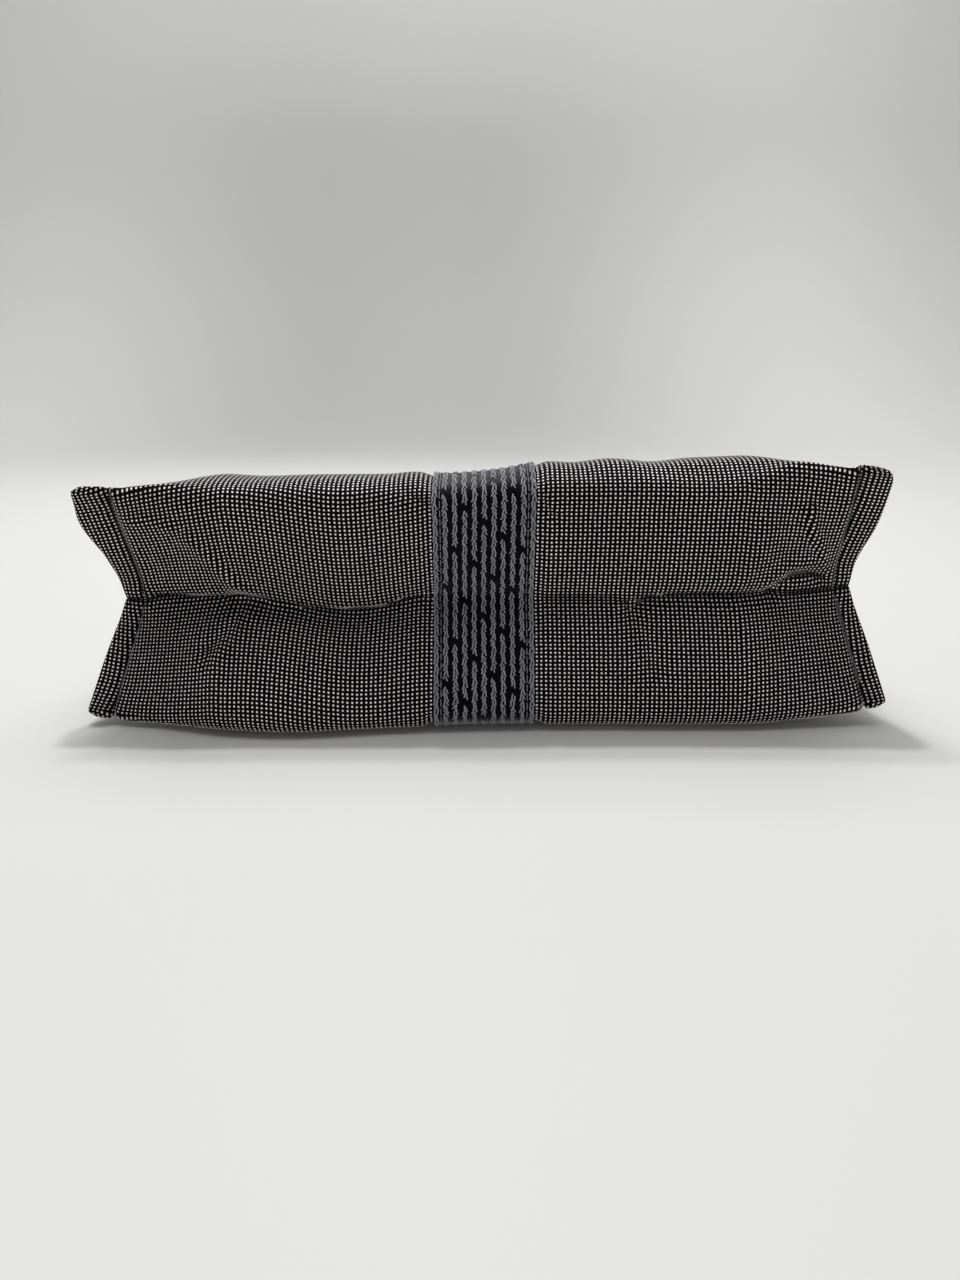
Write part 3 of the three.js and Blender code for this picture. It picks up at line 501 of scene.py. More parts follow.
class Nodes:
    """Short calls for a material's nodes."""

    def __init__(self, name):
        self.material = bpy.data.materials.new(name)
        self.material.use_nodes = True
        self.tree = self.material.node_tree
        self.shader = self.tree.nodes["Principled BSDF"]

    def set(self, **values):
        for name, value in values.items():
            feed(self.shader.inputs[name.replace("_", " ")], value)

    def filled(self, kind, settings, *values):
        """A node's first output, with its inputs filled in their order."""
        made = put(self.tree, kind, settings)
        for socket, value in zip(made.inputs, values):
            feed(socket, value)
        return made.outputs[0]

    def math(self, operation, *values):
        return self.filled("ShaderNodeMath", {"operation": operation}, *values)

    def ramp(self, value, low, high, start=0.0, end=1.0):
        settings = {"interpolation_type": "SMOOTHSTEP"}
        return self.filled("ShaderNodeMapRange", settings, value, low, high, start, end)

    def blend(self, share, first, second):
        made = put(self.tree, "ShaderNodeMix", {"data_type": "RGBA"})
        for index, value in ((0, share), (6, first), (7, second)):
            feed(made.inputs[index], value)
        return made.outputs[2]

    def place(self):
        return put(self.tree, "ShaderNodeTexCoord").outputs["Object"]

    def noise(self, scale, detail=2.0, roughness=0.5, vector=None):
        """Noise over the piece's own place, or over another vector."""
        if vector is None:
            vector = self.place()
        named = {"Vector": vector, "Scale": scale, "Detail": detail, "Roughness": roughness}
        return put(self.tree, "ShaderNodeTexNoise", **named).outputs[0]

    def flat(self):
        """Millimetres across and along the flat cloth."""
        place = put(self.tree, "ShaderNodeUVMap", {"uv_map": "flat"}).outputs[0]
        return self.parts(place)[:2]

    def parts(self, vector):
        return put(self.tree, "ShaderNodeSeparateXYZ", Vector=vector).outputs

    def ribs(self, distance, pitch):
        """A row of round ribs, one in each pitch."""
        return self.math("ABSOLUTE", self.math("SINE", self.math("MULTIPLY", distance, math.pi / pitch)))

    def raised(self, height, distance, strength=1.0):
        made = put(self.tree, "ShaderNodeBump", Height=height, Distance=distance, Strength=strength)
        self.set(Normal=made.outputs[0])


DOT_PITCH_ACROSS = 1.75
DOT_PITCH_ALONG = 1.57
DOT_CORE = 0.32  # from its middle, where a white dot starts to fade out
DOT_EDGE = 0.45
DOT_SHIFT = 0.1  # range over which a dot sits out of line, in pitches
THREAD_SHADE = (0.0012, 0.001, 0.0012, 1)
THREAD_LIGHT = (0.004, 0.0035, 0.004, 1)
WHITE_TINT = (1.0, 0.9, 0.92)


def dotted_canvas():
    """White woven dots on near-black cloth, worn and soiled a little, with painted shade that dims the dots
    in creases and along the side seams.
    """
    n = Nodes("dotted_canvas")
    across, along = n.flat()
    across = n.math("DIVIDE", across, DOT_PITCH_ACROSS)
    along = n.math("DIVIDE", along, DOT_PITCH_ALONG)
    cell = put(n.tree, "ShaderNodeCombineXYZ", X=n.math("FLOOR", across), Y=n.math("FLOOR", along))
    chance = put(n.tree, "ShaderNodeTexWhiteNoise", {"noise_dimensions": "2D"}, Vector=cell.outputs[0])
    jitter = put(n.tree, "ShaderNodeSeparateColor", Color=chance.outputs["Color"]).outputs
    squares = []
    pitches = (DOT_PITCH_ACROSS, DOT_PITCH_ALONG)
    for cells, random, pitch in zip((across, along), jitter, pitches):
        shift = n.math("MULTIPLY_ADD", random, DOT_SHIFT, -0.5 - DOT_SHIFT / 2)
        offset = n.math("MULTIPLY", n.math("ADD", n.math("FRACT", cells), shift), pitch)
        squares.append(n.math("POWER", offset, 2.0))
    away = n.math("SQRT", n.math("ADD", *squares))
    dot = n.ramp(away, DOT_EDGE, DOT_CORE)
    # Black threads cross between the dots, and show as a faint lighter lattice.
    lattice = n.math("MULTIPLY", n.ribs(across, 1), n.ribs(along, 1))
    ground = n.blend(n.ramp(lattice, 0.0, 0.25), THREAD_LIGHT, THREAD_SHADE)
    fibre = n.noise(2600.0, 3.0)
    soil = n.noise(45.0, 3.0)
    # Painted shade: the dots are dimmed in tight creases and at the side seams, where shade falls.
    painted_shade_factor = put(n.tree, "ShaderNodeAttribute", {"attribute_name": "painted_shade_factor"})
    clean = n.ramp(soil, 0.25, 0.75, 0.9, 1.03)
    grain = n.ramp(fibre, 0.3, 0.7, 0.9, 1.07)
    brightness = n.math("MULTIPLY_ADD", jitter[2], 0.14, 0.96)
    for share in (clean, grain, painted_shade_factor.outputs["Fac"]):
        brightness = n.math("MULTIPLY", brightness, share)
    red, green, blue = (n.math("MULTIPLY", brightness, tint) for tint in WHITE_TINT)
    white = put(n.tree, "ShaderNodeCombineColor", Red=red, Green=green, Blue=blue)
    n.set(Base_Color=n.blend(dot, ground, white.outputs[0]), Roughness=0.86)
    n.set(Sheen_Weight=1.0, Sheen_Roughness=0.2, Specular_IOR_Level=0.05)
    n.raised(n.math("ADD", n.ramp(away, 0.85, 0.0), n.math("MULTIPLY", fibre, 0.25)), 0.0003, 0.8)
    return n.material


canvas_finish = dotted_canvas()


def painted_crease_and_seam_shade(flat):
    """Painted shade for the white dots: a brightness factor, lower in tight creases and where the seam is
    drawn in.
    """
    spread = spans(outer, 1) / np.maximum(spans(flat, 1), 0.001)
    before, after = (np.pad(spread, ((0, 0), side), "edge") for side in ((1, 0), (0, 1)))
    # Painted shade where the outer face is squeezed into a tight crease.
    open_cloth = smooth((np.minimum(before, after) - 0.5) / 0.4)
    # Painted shade along the side seam line.
    seam = 1 - 0.8 * swell(np.abs(stations), SEAM, 1.2)
    return mix(0.1, 1, open_cloth) * seam[:, None]


INNER_STEP = 6  # the inner face has one point for this many of the outer one
INNER_SHIFT = 0.15  # the inner face lies this far outside the cloth's points
LEAST_WALL = 0.9


def make_canvas():
    """The canvas as a closed shell: outer face, inner face, and the edges at the zip."""
    rows, columns = outer.shape[:2]
    inner_stations = np.flatnonzero(np.abs(stations) <= SEAM - 0.1)
    picked = np.ix_(inner_stations, np.arange(0, columns, INNER_STEP))
    shift = np.minimum(INNER_SHIFT, lift[picked] - LEAST_WALL)
    inside = cloth[picked] + facing[picked] * shift[:, :, None]
    inner_rows, inner_columns = inside.shape[:2]
    start = rows * columns
    offset = int(inner_stations[0])
    faces = grid_faces(rows, columns) + grid_faces(inner_rows, inner_columns, start, turned=True)
    open_rows = np.flatnonzero(np.abs(stations[inner_stations]) <= MOUTH_END + 0.01)
    first, last = int(open_rows[0]), int(open_rows[-1])
    flat = flat_cloth(stations)
    own_corners = {}

    def rim(row):
        """The shell's points at the zip in one row: outer front and rear, inner front and rear."""
        front = (row + offset) * columns
        inner_front = start + row * inner_columns
        return front, front + columns - 1, inner_front, inner_front + inner_columns - 1

    def close_end(row):
        """A face over the zip end from the rear edge to the front one, dotted like the front."""
        low = row * columns
        near, far = flat[row, 0], flat[row + 1, 0]
        gaps = np.linalg.norm(outer[row : row + 2, 0] - outer[row : row + 2, -1], axis=1)
        own_corners[len(faces)] = [near - (0, gaps[0]), far - (0, gaps[1]), far, near]
        faces.append([low + columns - 1, low + 2 * columns - 1, low + columns, low])

    for row in range(inner_rows - 1):
        a_front, a_rear, a_inner_front, a_inner_rear = rim(row)
        b_front, b_rear, b_inner_front, b_inner_rear = rim(row + 1)
        if first <= row < last:
            faces.append([a_inner_front, b_inner_front, b_front, a_front])
            faces.append([a_rear, b_rear, b_inner_rear, a_inner_rear])
        else:
            close_end(row + offset)
            faces.append([a_inner_front, b_inner_front, b_inner_rear, a_inner_rear])
    for row, way in ((first, 1), (last, -1)):
        front, rear, inner_front, inner_rear = rim(row)
        own_corners[len(faces)] = [(0.0, 0.0)] * 4
        faces.append([front, rear, inner_rear, inner_front][::way])
    for row in (*range(offset), *range(offset + inner_rows - 1, rows - 1)):
        close_end(row)
    points = np.concatenate([outer.reshape(-1, 3), inside.reshape(-1, 3)])
    uv = np.concatenate([flat.reshape(-1, 2), flat[picked].reshape(-1, 2)])
    piece = new_mesh("canvas", points, faces, canvas_finish, uv)
    # Painted shade for the dots of the outer face, stored on its points.
    painted_shade_factor = np.ones(len(points), dtype=np.float32)
    painted_shade_factor[:start] = painted_crease_and_seam_shade(flat).ravel()
    piece.data.attributes.new("painted_shade_factor", "FLOAT", "POINT").data.foreach_set("value", painted_shade_factor)
    for index, corners in own_corners.items():
        for loop, place in zip(piece.data.polygons[index].loop_indices, corners):
            piece.data.uv_layers["flat"].data[loop].uv = place
    return piece


canvas = make_canvas()
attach(canvas, "pouch")
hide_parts("canvas_body")


# Side seam stitching
# Each side seam is topstitched in dark grey thread close to the panels. The lower right leg ends
# in a thick, loosely pulled bobbin thread.
THREAD = 0.5
STITCH_PITCH = 3.1


def reach(route):
    """How far each point of a route lies from its start, along it."""
    return np.concatenate([[0], np.cumsum(spans(route, 0))])


def along_route(points, normals, pitch, start=0.0):
    """Points, directions and normals at an even pitch along a route."""
    reached = reach(points)
    wanted = np.arange(start + pitch / 2, reached[-1], pitch)
    placed, up = (
        np.stack([np.interp(wanted, reached, row) for row in rows.T], axis=1) for rows in (points, normals)
    )
    return placed, unit(np.gradient(placed, axis=0)), unit(up)


def read_row(grid, at, u):
    """A row of a grid at a distance u from the middle, between the rows that it has."""
    k = int(np.clip(np.searchsorted(at, u) - 1, 0, len(at) - 2))
    return mix(grid[k], grid[k + 1], (u - at[k]) / (at[k + 1] - at[k]))


def copies_tree(name, sizes, make_shape, finish):
    """Geometry Nodes that stand one shape on every point, turned to its heading and face."""
    tree = bpy.data.node_groups.new(name, "GeometryNodeTree")
    tree.is_modifier = True
    for way in ("INPUT", "OUTPUT"):
        tree.interface.new_socket("Geometry", in_out=way, socket_type="NodeSocketGeometry")
    sockets = {
        label: tree.interface.new_socket(label, in_out="INPUT", socket_type="NodeSocketFloat")
        for label in sizes
    }
    entry = tree.nodes.new("NodeGroupInput").outputs
    shape = make_shape(tree, entry)
    vector = {"data_type": "FLOAT_VECTOR"}
    face, heading = (
        put(tree, "GeometryNodeInputNamedAttribute", vector, Name=label).outputs["Attribute"]
        for label in ("face", "heading")
    )
    axes = {"primary_axis": "Z", "secondary_axis": "X"}
    turn = put(tree, "FunctionNodeAxesToRotation", axes, Primary_Axis=face, Secondary_Axis=heading)
    spots = {"Points": entry["Geometry"], "Instance": shape, "Rotation": turn.outputs["Rotation"]}
    stand = put(tree, "GeometryNodeInstanceOnPoints", **spots)
    made = put(tree, "GeometryNodeRealizeInstances", Geometry=stand.outputs["Instances"])
    soft = put(tree, "GeometryNodeSetShadeSmooth", Geometry=made.outputs["Geometry"])
    coat = put(tree, "GeometryNodeSetMaterial", Geometry=soft.outputs["Geometry"], Material=finish)
    put(tree, "NodeGroupOutput", Geometry=coat.outputs["Geometry"])
    return tree, {label: socket.identifier for label, socket in sockets.items()}


def stand_copies(name, spots, make_shape, finish, **sizes):
    """A piece made of one shape repeated at spots of place, heading and face, in millimetres."""
    placed, heading, up = (np.concatenate(part) for part in zip(*spots))
    mesh = bpy.data.meshes.new(name)
    mesh.from_pydata((placed * MM + place_of_zip).tolist(), [], [])
    for label, values in (("heading", heading), ("face", up)):
        layer = mesh.attributes.new(label, "FLOAT_VECTOR", "POINT")
        layer.data.foreach_set("vector", values.astype(np.float32).ravel())
    piece = in_scene(name, mesh)
    tree, identifiers = copies_tree(name, sizes, make_shape, finish)
    modifier = piece.modifiers.new(name, "NODES")
    modifier.node_group = tree
    for label, value in sizes.items():
        modifier[identifiers[label]] = value * MM
    bpy.context.view_layer.update()
    plain = bpy.data.meshes.new_from_object(piece.evaluated_get(bpy.context.evaluated_depsgraph_get()))
    piece.modifiers.remove(modifier)
    piece.data = plain
    plain.name = name
    return piece


def stitch_shape(tree, entry, bends=6, sides=5):
    """A thread that rises out of the cloth, bends over and goes down again."""
    arc = put(tree, "GeometryNodeCurveArc", Resolution=bends, Radius=0.5, Sweep_Angle=math.pi)
    size = put(tree, "ShaderNodeCombineXYZ", X=entry["Length"], Y=entry["Height"], Z=1.0)
    bow = put(tree, "GeometryNodeTransform", Geometry=arc.outputs["Curve"], Scale=size.outputs["Vector"])
    bow.inputs["Rotation"].default_value = (math.pi / 2, 0, 0)
    section = put(tree, "GeometryNodeCurvePrimitiveCircle", Resolution=sides, Radius=entry["Thickness"])
    curves = {"Curve": bow.outputs["Geometry"], "Profile_Curve": section.outputs["Curve"]}
    return put(tree, "GeometryNodeCurveToMesh", **curves, Fill_Caps=True).outputs["Mesh"]


def thread_finish(name, colour):
    n = Nodes(name)
    twist = n.noise(1800.0, 2.0)
    n.set(Base_Color=n.blend(twist, [0.6 * c for c in colour[:3]] + [1], colour), Roughness=0.6)
    n.set(Specular_IOR_Level=0.2)
    n.raised(twist, 0.0001)
    return n.material


dark_thread = thread_finish("dark_grey_thread", (0.02, 0.02, 0.022, 1))
grey_thread = thread_finish("grey_thread", (0.17, 0.17, 0.175, 1))

# Runs of the seam between the places where it turns sharply
SEAM_RUNS = ((0.3, 2.85), (3.1, 4.9), (5.1, 6.9), (7.1, 8.9), (9.1, 10.9), (11.15, 13.7))


def seam_spots(side, beyond, low, high, pitch, raise_by=0.0):
    """Stitches along the flange on one side, between two places of the section."""
    u = side * (SEAM + beyond)
    keep = (places >= low) & (places <= high)
    route, up = (read_row(grid, stations, u)[keep] for grid in (outer, facing))
    return along_route(route + up * raise_by, up, pitch)


seam_routes = [
    seam_spots(side, SEAM_BEYOND, low, high, STITCH_PITCH) for side in (-1, 1) for low, high in SEAM_RUNS
]
stitch = {"Length": 2.9, "Height": 0.5, "Thickness": THREAD / 2}
seam_thread = stand_copies("seam_thread", seam_routes, stitch_shape, dark_thread, **stitch)
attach(seam_thread, "pouch")


LOOSE_RUN = (7.25, 8.72)
LOOSE_PITCH = 1.7
LOOSE_BEYOND = 0.2
LOOSE_RISE = 0.35
LOOSE_TILT = 0.5
LOOSE_ASIDE = 0.45


def loose_spots():
    """The thick bobbin thread on the lower right leg, pulled a little out of line."""
    wander = np.random.default_rng(5)
    placed, heading, up = seam_spots(1, LOOSE_BEYOND, *LOOSE_RUN, LOOSE_PITCH, LOOSE_RISE)
    tilt = wander.uniform(-LOOSE_TILT, LOOSE_TILT, len(placed))[:, None]
    aside = np.cross(up, heading)
    placed = placed + aside * wander.uniform(-LOOSE_ASIDE, LOOSE_ASIDE, len(placed))[:, None]
    return placed, heading * np.cos(tilt) + aside * np.sin(tilt), up


stitch = {"Length": 2.8, "Height": 1.3, "Thickness": 0.27}
loose_thread = stand_copies("loose_thread", [loose_spots()], stitch_shape, grey_thread, **stitch)
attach(loose_thread, "pouch")


# Webbing band
# A 38 mm band of jacquard polyester webbing, sewn over the canvas from the zip down the front,
# round the base and up the back. Its ground is a navy-black tape. Grey yarn lies on it in
# knitted ribs, and small scattered squares of bare ground break them.
BAND_THICKNESS = 1.0
BAND_CLEARANCE = 0.12
BAND_ROUND = 0.5
CORD_PITCH = 0.58
PICK_PITCH = 0.9


def webbing_ground():
    """Fine cords along the band, crossed by lower picks."""
    n = Nodes("navy_black_webbing")
    across, along = n.flat()
    picks = n.math("MULTIPLY", n.ribs(along, PICK_PITCH), 0.5)
    height = n.math("ADD", n.ribs(across, CORD_PITCH), picks)
    fibre = n.noise(2400.0, 3.0)
    shade = n.blend(n.ramp(height, 0.2, 1.4), (0.001, 0.001, 0.0025, 1), (0.004, 0.004, 0.008, 1))
    fleck = n.ramp(fibre, 0.62, 0.8)
    n.set(Base_Color=n.blend(fleck, shade, (0.02, 0.02, 0.028, 1)), Roughness=0.9)
    n.set(Sheen_Weight=1.0, Sheen_Roughness=0.3, Specular_IOR_Level=0.06)
    n.raised(n.math("ADD", height, fibre), 0.00025, 0.8)
    return n.material


def band_grid(across, raise_by):
    """Points of the cloth under the band, raised by each station's own height."""
    points = np.array([cloth_points(u, places) for u in across])
    up = cloth_facing(points)
    up[0], up[-1] = up[1], up[-2]
    rise = CANVAS - band_seat(0.0, places) + BAND_CLEARANCE + raise_by[:, None]
    raised = points + up * rise[:, :, None]
    raised[:, :, 2] = np.maximum(raised[:, :, 2], CANVAS - rise)
    return raised, up


half_band = WEBBING_WIDTH / 2
band_rim = half_band - np.array([0, 0.1, 0.4, 0.8])
band_inner = np.linspace(1.5 - half_band, half_band - 1.5, 21)
band_across = np.concatenate([-band_rim, band_inner, band_rim[::-1]])
edge_round = np.sqrt(1 - np.clip((np.abs(band_across) - half_band + BAND_ROUND) / BAND_ROUND, 0, 1) ** 2)
band_top, band_up = band_grid(band_across, BAND_THICKNESS * (0.5 + 0.5 * edge_round))
band_under, _ = band_grid(band_across, BAND_THICKNESS * (0.5 - 0.5 * edge_round))


def make_band():
    """The band's ground: top and underside, which meet at its round edges, and both ends."""
    rows, columns = band_top.shape[:2]
    start = rows * columns
    faces = grid_faces(rows, columns) + grid_faces(rows, columns, start, turned=True)
    for column, way in ((0, 1), (columns - 1, -1)):
        for a in range(column, start - columns, columns):
            faces.append([a, start + a, start + a + columns, a + columns][::way])
    flat = flat_cloth(band_across).reshape(-1, 2)
    points = np.concatenate([band_top.reshape(-1, 3), band_under.reshape(-1, 3)])
    return new_mesh("band_ground", points, faces, webbing_ground(), np.concatenate([flat, flat]))


band = make_band()
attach(band, "pouch")
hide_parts("webbing_band")


RIB_COUNT = 11
RIB_PITCH = 3.63
RIB_WAVE = 0.24
WAVE_BY_LOOP = 1.9
WAVE_BY_RIB = 1.3
LOOP_PITCH = 1.55
LOOP_ASIDE = 0.46
LOOP_SLANT = math.radians(17)
LOOP_SWAY = 0.14
LOOP_SHIFT = 0.05
YARN = 0.56
GAP_EVERY = 26  # loops from one gap to the next
GAP_LOOPS = 2
GAP_STAGGER = 11  # loops by which the gaps move from one rib to the next


def loop_shape(tree, entry):
    return stitch_shape(tree, entry, bends=5, sides=4)


def left_out(rib, loop):
    """True where a rib is broken by a small square of bare ground. The edges stay whole."""
    return 0 < rib < RIB_COUNT - 1 and (loop + GAP_STAGGER * rib) % GAP_EVERY < GAP_LOOPS


def band_line(u):
    """The band's top and its facing at a distance u from its middle."""
    return [read_row(grid, band_across, u) for grid in (band_top, band_up)]


def rib_spots(ribs):
    """Two columns of slanted loops on each rib, leaning towards each other."""
    sway = np.random.default_rng(3 + ribs[0])
    spots = []
    for rib in ribs:
        route, up = band_line((rib - (RIB_COUNT - 1) / 2) * RIB_PITCH)
        for column in (-1, 1):
            placed, heading, face = along_route(route, up, LOOP_PITCH, 0.25 * LOOP_PITCH * column)
            keep = [not left_out(rib, loop) for loop in range(len(placed))]
            tilt = column * LOOP_SLANT + sway.normal(0, LOOP_SWAY, len(placed))[:, None]
            aside = np.cross(face, heading)
            wave = RIB_WAVE * np.sin(np.arange(len(placed)) * WAVE_BY_LOOP + WAVE_BY_RIB * rib)
            shift = column * LOOP_ASIDE + wave + sway.normal(0, LOOP_SHIFT, len(placed))
            lift_by = sway.normal(0, LOOP_SHIFT, len(placed))
            placed = placed + aside * shift[:, None] + face * lift_by[:, None]
            heading = heading * np.cos(tilt) + aside * np.sin(tilt)
            spots.append((placed[keep], heading[keep], face[keep]))
    return spots


def grey_yarn():
    n = Nodes("grey_yarn")
    twist = n.noise(2100.0, 3.0)
    wear = n.noise(120.0, 2.0)
    shade = n.blend(twist, (0.19, 0.19, 0.215, 1), (0.54, 0.54, 0.59, 1))
    worn = n.ramp(wear, 0.4, 0.7, 0.0, 0.35)
    n.set(Base_Color=n.blend(worn, shade, (0.24, 0.24, 0.27, 1)), Roughness=0.8)
    n.set(Sheen_Weight=0.1, Sheen_Roughness=0.3, Specular_IOR_Level=0.2)
    n.raised(twist, 0.0002, 0.7)
    return n.material


yarn_finish = grey_yarn()
loop = {"Length": 1.65, "Height": 0.66, "Thickness": YARN / 2}
for label, ribs in (("left", range(6)), ("right", range(6, RIB_COUNT))):
    ribs_made = stand_copies("band_ribs_" + label, rib_spots(ribs), loop_shape, yarn_finish, **loop)
    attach(ribs_made, "pouch")


TOPSTITCH_ASIDE = 16.35
TOPSTITCH_PITCH = 3.5
edge_lines = [along_route(*band_line(side * TOPSTITCH_ASIDE), TOPSTITCH_PITCH) for side in (-1, 1)]
fine_thread = thread_finish("light_grey_thread", (0.36, 0.36, 0.38, 1))
stitch = {"Length": 2.7, "Height": 0.55, "Thickness": 0.16}
topstitch = stand_copies("band_topstitch", edge_lines, stitch_shape, fine_thread, **stitch)
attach(topstitch, "pouch")


# Lining
# A loose inner bag of thin black polyester, sewn in behind the zip tapes. Nothing of it shows
# while the zip is shut.
LINING_FROM_SEAM = 2.5
LINING_START = 0.95
LINING_SLACK = 0.5
TAPE_SPACE = 0.9
LINING = 0.4


def make_lining():
    rows = np.flatnonzero(np.abs(stations) <= SEAM - LINING_FROM_SEAM)[::3]
    columns = np.flatnonzero(from_mouth(places) > LINING_START)[::4]
    route = places[columns]
    seat = np.array([band_seat(u, route) for u in stations[rows]])
    over_tape = 1 - smooth(from_mouth(route) - 1)
    inward = seat + LINING_SLACK + TAPE_SPACE * over_tape
    picked = np.ix_(rows, columns)
    points = cloth[picked] - facing[picked] * inward[:, :, None]
    n = Nodes("black_lining")
    weave = n.noise(900.0, 2.0)
    n.set(Base_Color=n.blend(weave, (0.006, 0.006, 0.007, 1), (0.014, 0.014, 0.016, 1)), Roughness=0.6)
    n.set(Sheen_Weight=0.2)
    n.raised(weave, 0.0001)
    piece = new_mesh("inner_bag", points.reshape(-1, 3), grid_faces(len(rows), len(columns)), n.material)
    wall = piece.modifiers.new("cloth", "SOLIDIFY")
    wall.thickness = LINING * MM
    wall.offset = -1
    return piece


inner_bag = make_lining()
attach(inner_bag, "pouch")
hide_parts("lining")


# Zip tapes
# Each half of the zip has a woven polyester tape. It is sewn in under the hem, turns out at the
# canvas edge and carries the teeth along its inner edge.
TAPE = 0.6
TAPE_EDGE = 1.6
TAPE_END = MOUTH_END - 0.6
TAPE_STEPS = 90
TAPE_RIB = 0.7
TAPE_PICK = 0.9
UNDER_HEM = 0.65


def tape_route(side):
    """The middle of one tape in y and z: from the teeth out to the canvas, and in under the hem."""
    hem = cloth_points(0.0, np.linspace(0.3, 1.0, 6))
    under = [(y, side * (z - MOUTH_HEIGHT - UNDER_HEM)) for _, y, z in hem]
    turn = [(-TAPE_SETBACK, side * v) for v in (TAPE_EDGE, 3.0, 4.6, 5.6)]
    turn.append((-TAPE_SETBACK - 0.35, side * 6.3))
    return np.array(turn + under)


def tube_faces(rings, count):
    """Faces round a stack of rings, and strips over both ends."""
    faces = []
    for i in range(rings - 1):
        for j in range(count):
            a, b = i * count + j, i * count + (j + 1) % count
            faces.append([a, b, b + count, a + count])
    strips = [[j, j + 1, count - 2 - j, count - 1 - j] for j in range(count // 2 - 1)]
    faces += [strip[::-1] for strip in strips]
    return faces + [[v + (rings - 1) * count for v in strip] for strip in strips]


def make_tape(name, side, finish):
    """One tape with its thickness, drawn out along the zip."""
    route = tape_route(side)
    heading = unit(np.gradient(route, axis=0))
    out = np.stack([-heading[:, 1], heading[:, 0]], axis=1) * -side
    steps = np.linspace(-TAPE_END, TAPE_END, TAPE_STEPS)
    loop = np.concatenate([route + out * TAPE / 2, (route - out * TAPE / 2)[::-1]])
    across = np.concatenate([reach(route), reach(route)[::-1]])
    points = [(x, y, MOUTH_HEIGHT + z) for x in steps for y, z in loop]
    uv = [(v, x) for x in steps for v in across]
    faces = [face[::side] for face in tube_faces(TAPE_STEPS, len(loop))]
    return new_mesh(name, points, faces, finish, uv)


def woven_tape():
    """Fine ribs along the tape with a twill across them."""
    n = Nodes("black_zip_tape")
    across, along = n.flat()
    across = n.math("MULTIPLY", across, math.tau / TAPE_RIB)
    along = n.math("MULTIPLY", along, math.tau / TAPE_PICK)
    ribs = n.math("SINE", across)
    twill = n.math("SINE", n.math("ADD", across, along))
    height = n.math("MULTIPLY_ADD", twill, 0.5, ribs)
    fibre = n.noise(2600.0, 2.0)
    shade = n.blend(n.ramp(height, -1.2, 1.2), (0.005, 0.005, 0.006, 1), (0.016, 0.016, 0.018, 1))
    n.set(Base_Color=n.blend(n.ramp(fibre, 0.6, 0.85), shade, (0.035, 0.035, 0.04, 1)), Roughness=0.8)
    n.set(Sheen_Weight=0.15, Specular_IOR_Level=0.2)
    n.raised(n.math("ADD", height, fibre), 0.00012, 0.8)
    return n.material


tape_finish = woven_tape()
for side, label in ((1, "front"), (-1, "rear")):
    tape = make_tape("zip_tape_" + label, side, tape_finish)
    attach(tape, "pouch")
    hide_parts("zip_stringer_" + label)


# Zip teeth
# Moulded black resin teeth, clamped on the tape's edge 3 mm apart, with the front and rear rows
# half a pitch out so that their heads lock. The slider's mouth holds them apart.
TOOTH_PITCH = 3.0
TOOTH_FOOT = 2.2
TOOTH_REACH = 0.7
TOOTH_WAIST = [(1.0, 1.5), (0.5, 0.75), (0.52, 0.3), (0.68, -0.1), (0.62, -0.55)]
TOOTH_MIDDLE = 0.8
TOOTH_ROUND = 0.28
TOOTH_TOP = 0.82  # size of its two flat faces, as a share
CHAIN_START = -126.8
CHAIN_END = SLIDER_REST + 3.4
CHAIN_SPREAD = 2.0
SPREAD_START = SLIDER_REST - 2
SPREAD_LENGTH = 6


def chain_spread(x):
    """How far each row stands off the zip's middle line."""
    return CHAIN_SPREAD * smooth((x - SPREAD_START) / SPREAD_LENGTH)


def tooth_mould():
    """One tooth as a small mesh: foot, waist and head, rounded all over."""
    half = [(0.95, TOOTH_FOOT), *TOOTH_WAIST, (0.3, -TOOTH_REACH)]
    outline = half + [(-x, v) for x, v in reversed(half)]
    deep = TOOTH_HEIGHT / 2
    shoulder = deep - TOOTH_ROUND
    rings = [(TOOTH_TOP, -deep), (1.0, -shoulder), (1.0, shoulder), (TOOTH_TOP, deep)]
    points = [(x * share, mix(TOOTH_MIDDLE, v, share), z) for share, z in rings for x, v in outline]
    mesh = bpy.data.meshes.new("tooth_mould")
    mesh.from_pydata(points, [], [face[::-1] for face in tube_faces(len(rings), len(outline))])
    mesh.update()
    return bpy.data.objects.new("tooth_mould", mesh)


def moulded_resin():
    n = Nodes("black_resin")
    grain = n.noise(3500.0, 2.0)
    wear = n.noise(160.0, 2.0)
    n.set(Base_Color=n.blend(wear, (0.006, 0.006, 0.007, 1), (0.014, 0.014, 0.016, 1)))
    n.set(Roughness=n.ramp(grain, 0.3, 0.7, 0.3, 0.5), Specular_IOR_Level=0.5)
    n.raised(grain, 0.00002, 0.5)
    return n.material


resin_finish = moulded_resin()
mould = tooth_mould()


def tooth_shape(tree, entry):
    """The moulded tooth, drawn in millimetres and brought to metres."""
    source = put(tree, "GeometryNodeObjectInfo", Object=mould)
    size = put(tree, "ShaderNodeCombineXYZ", **{axis: entry["Millimetre"] for axis in "XYZ"})
    grown = {"Geometry": source.outputs["Geometry"], "Scale": size.outputs["Vector"]}
    return put(tree, "GeometryNodeTransform", **grown).outputs["Geometry"]


def tooth_spots(side):
    first = CHAIN_START + (0 if side > 0 else TOOTH_PITCH / 2)
    x = np.arange(first, CHAIN_END, TOOTH_PITCH)
    placed = np.stack([x, np.full_like(x, -TAPE_SETBACK), MOUTH_HEIGHT + side * chain_spread(x)], axis=1)
    heading = np.tile([float(side), 0.0, 0.0], (len(x), 1))
    face = np.tile([0.0, -1.0, 0.0], (len(x), 1))
    return placed, heading, face


for side, label in ((1, "front"), (-1, "rear")):
    teeth = stand_copies("zip_teeth_" + label, [tooth_spots(side)], tooth_shape, resin_finish, Millimetre=1.0)
    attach(teeth, "pouch")
bpy.data.objects.remove(mould)


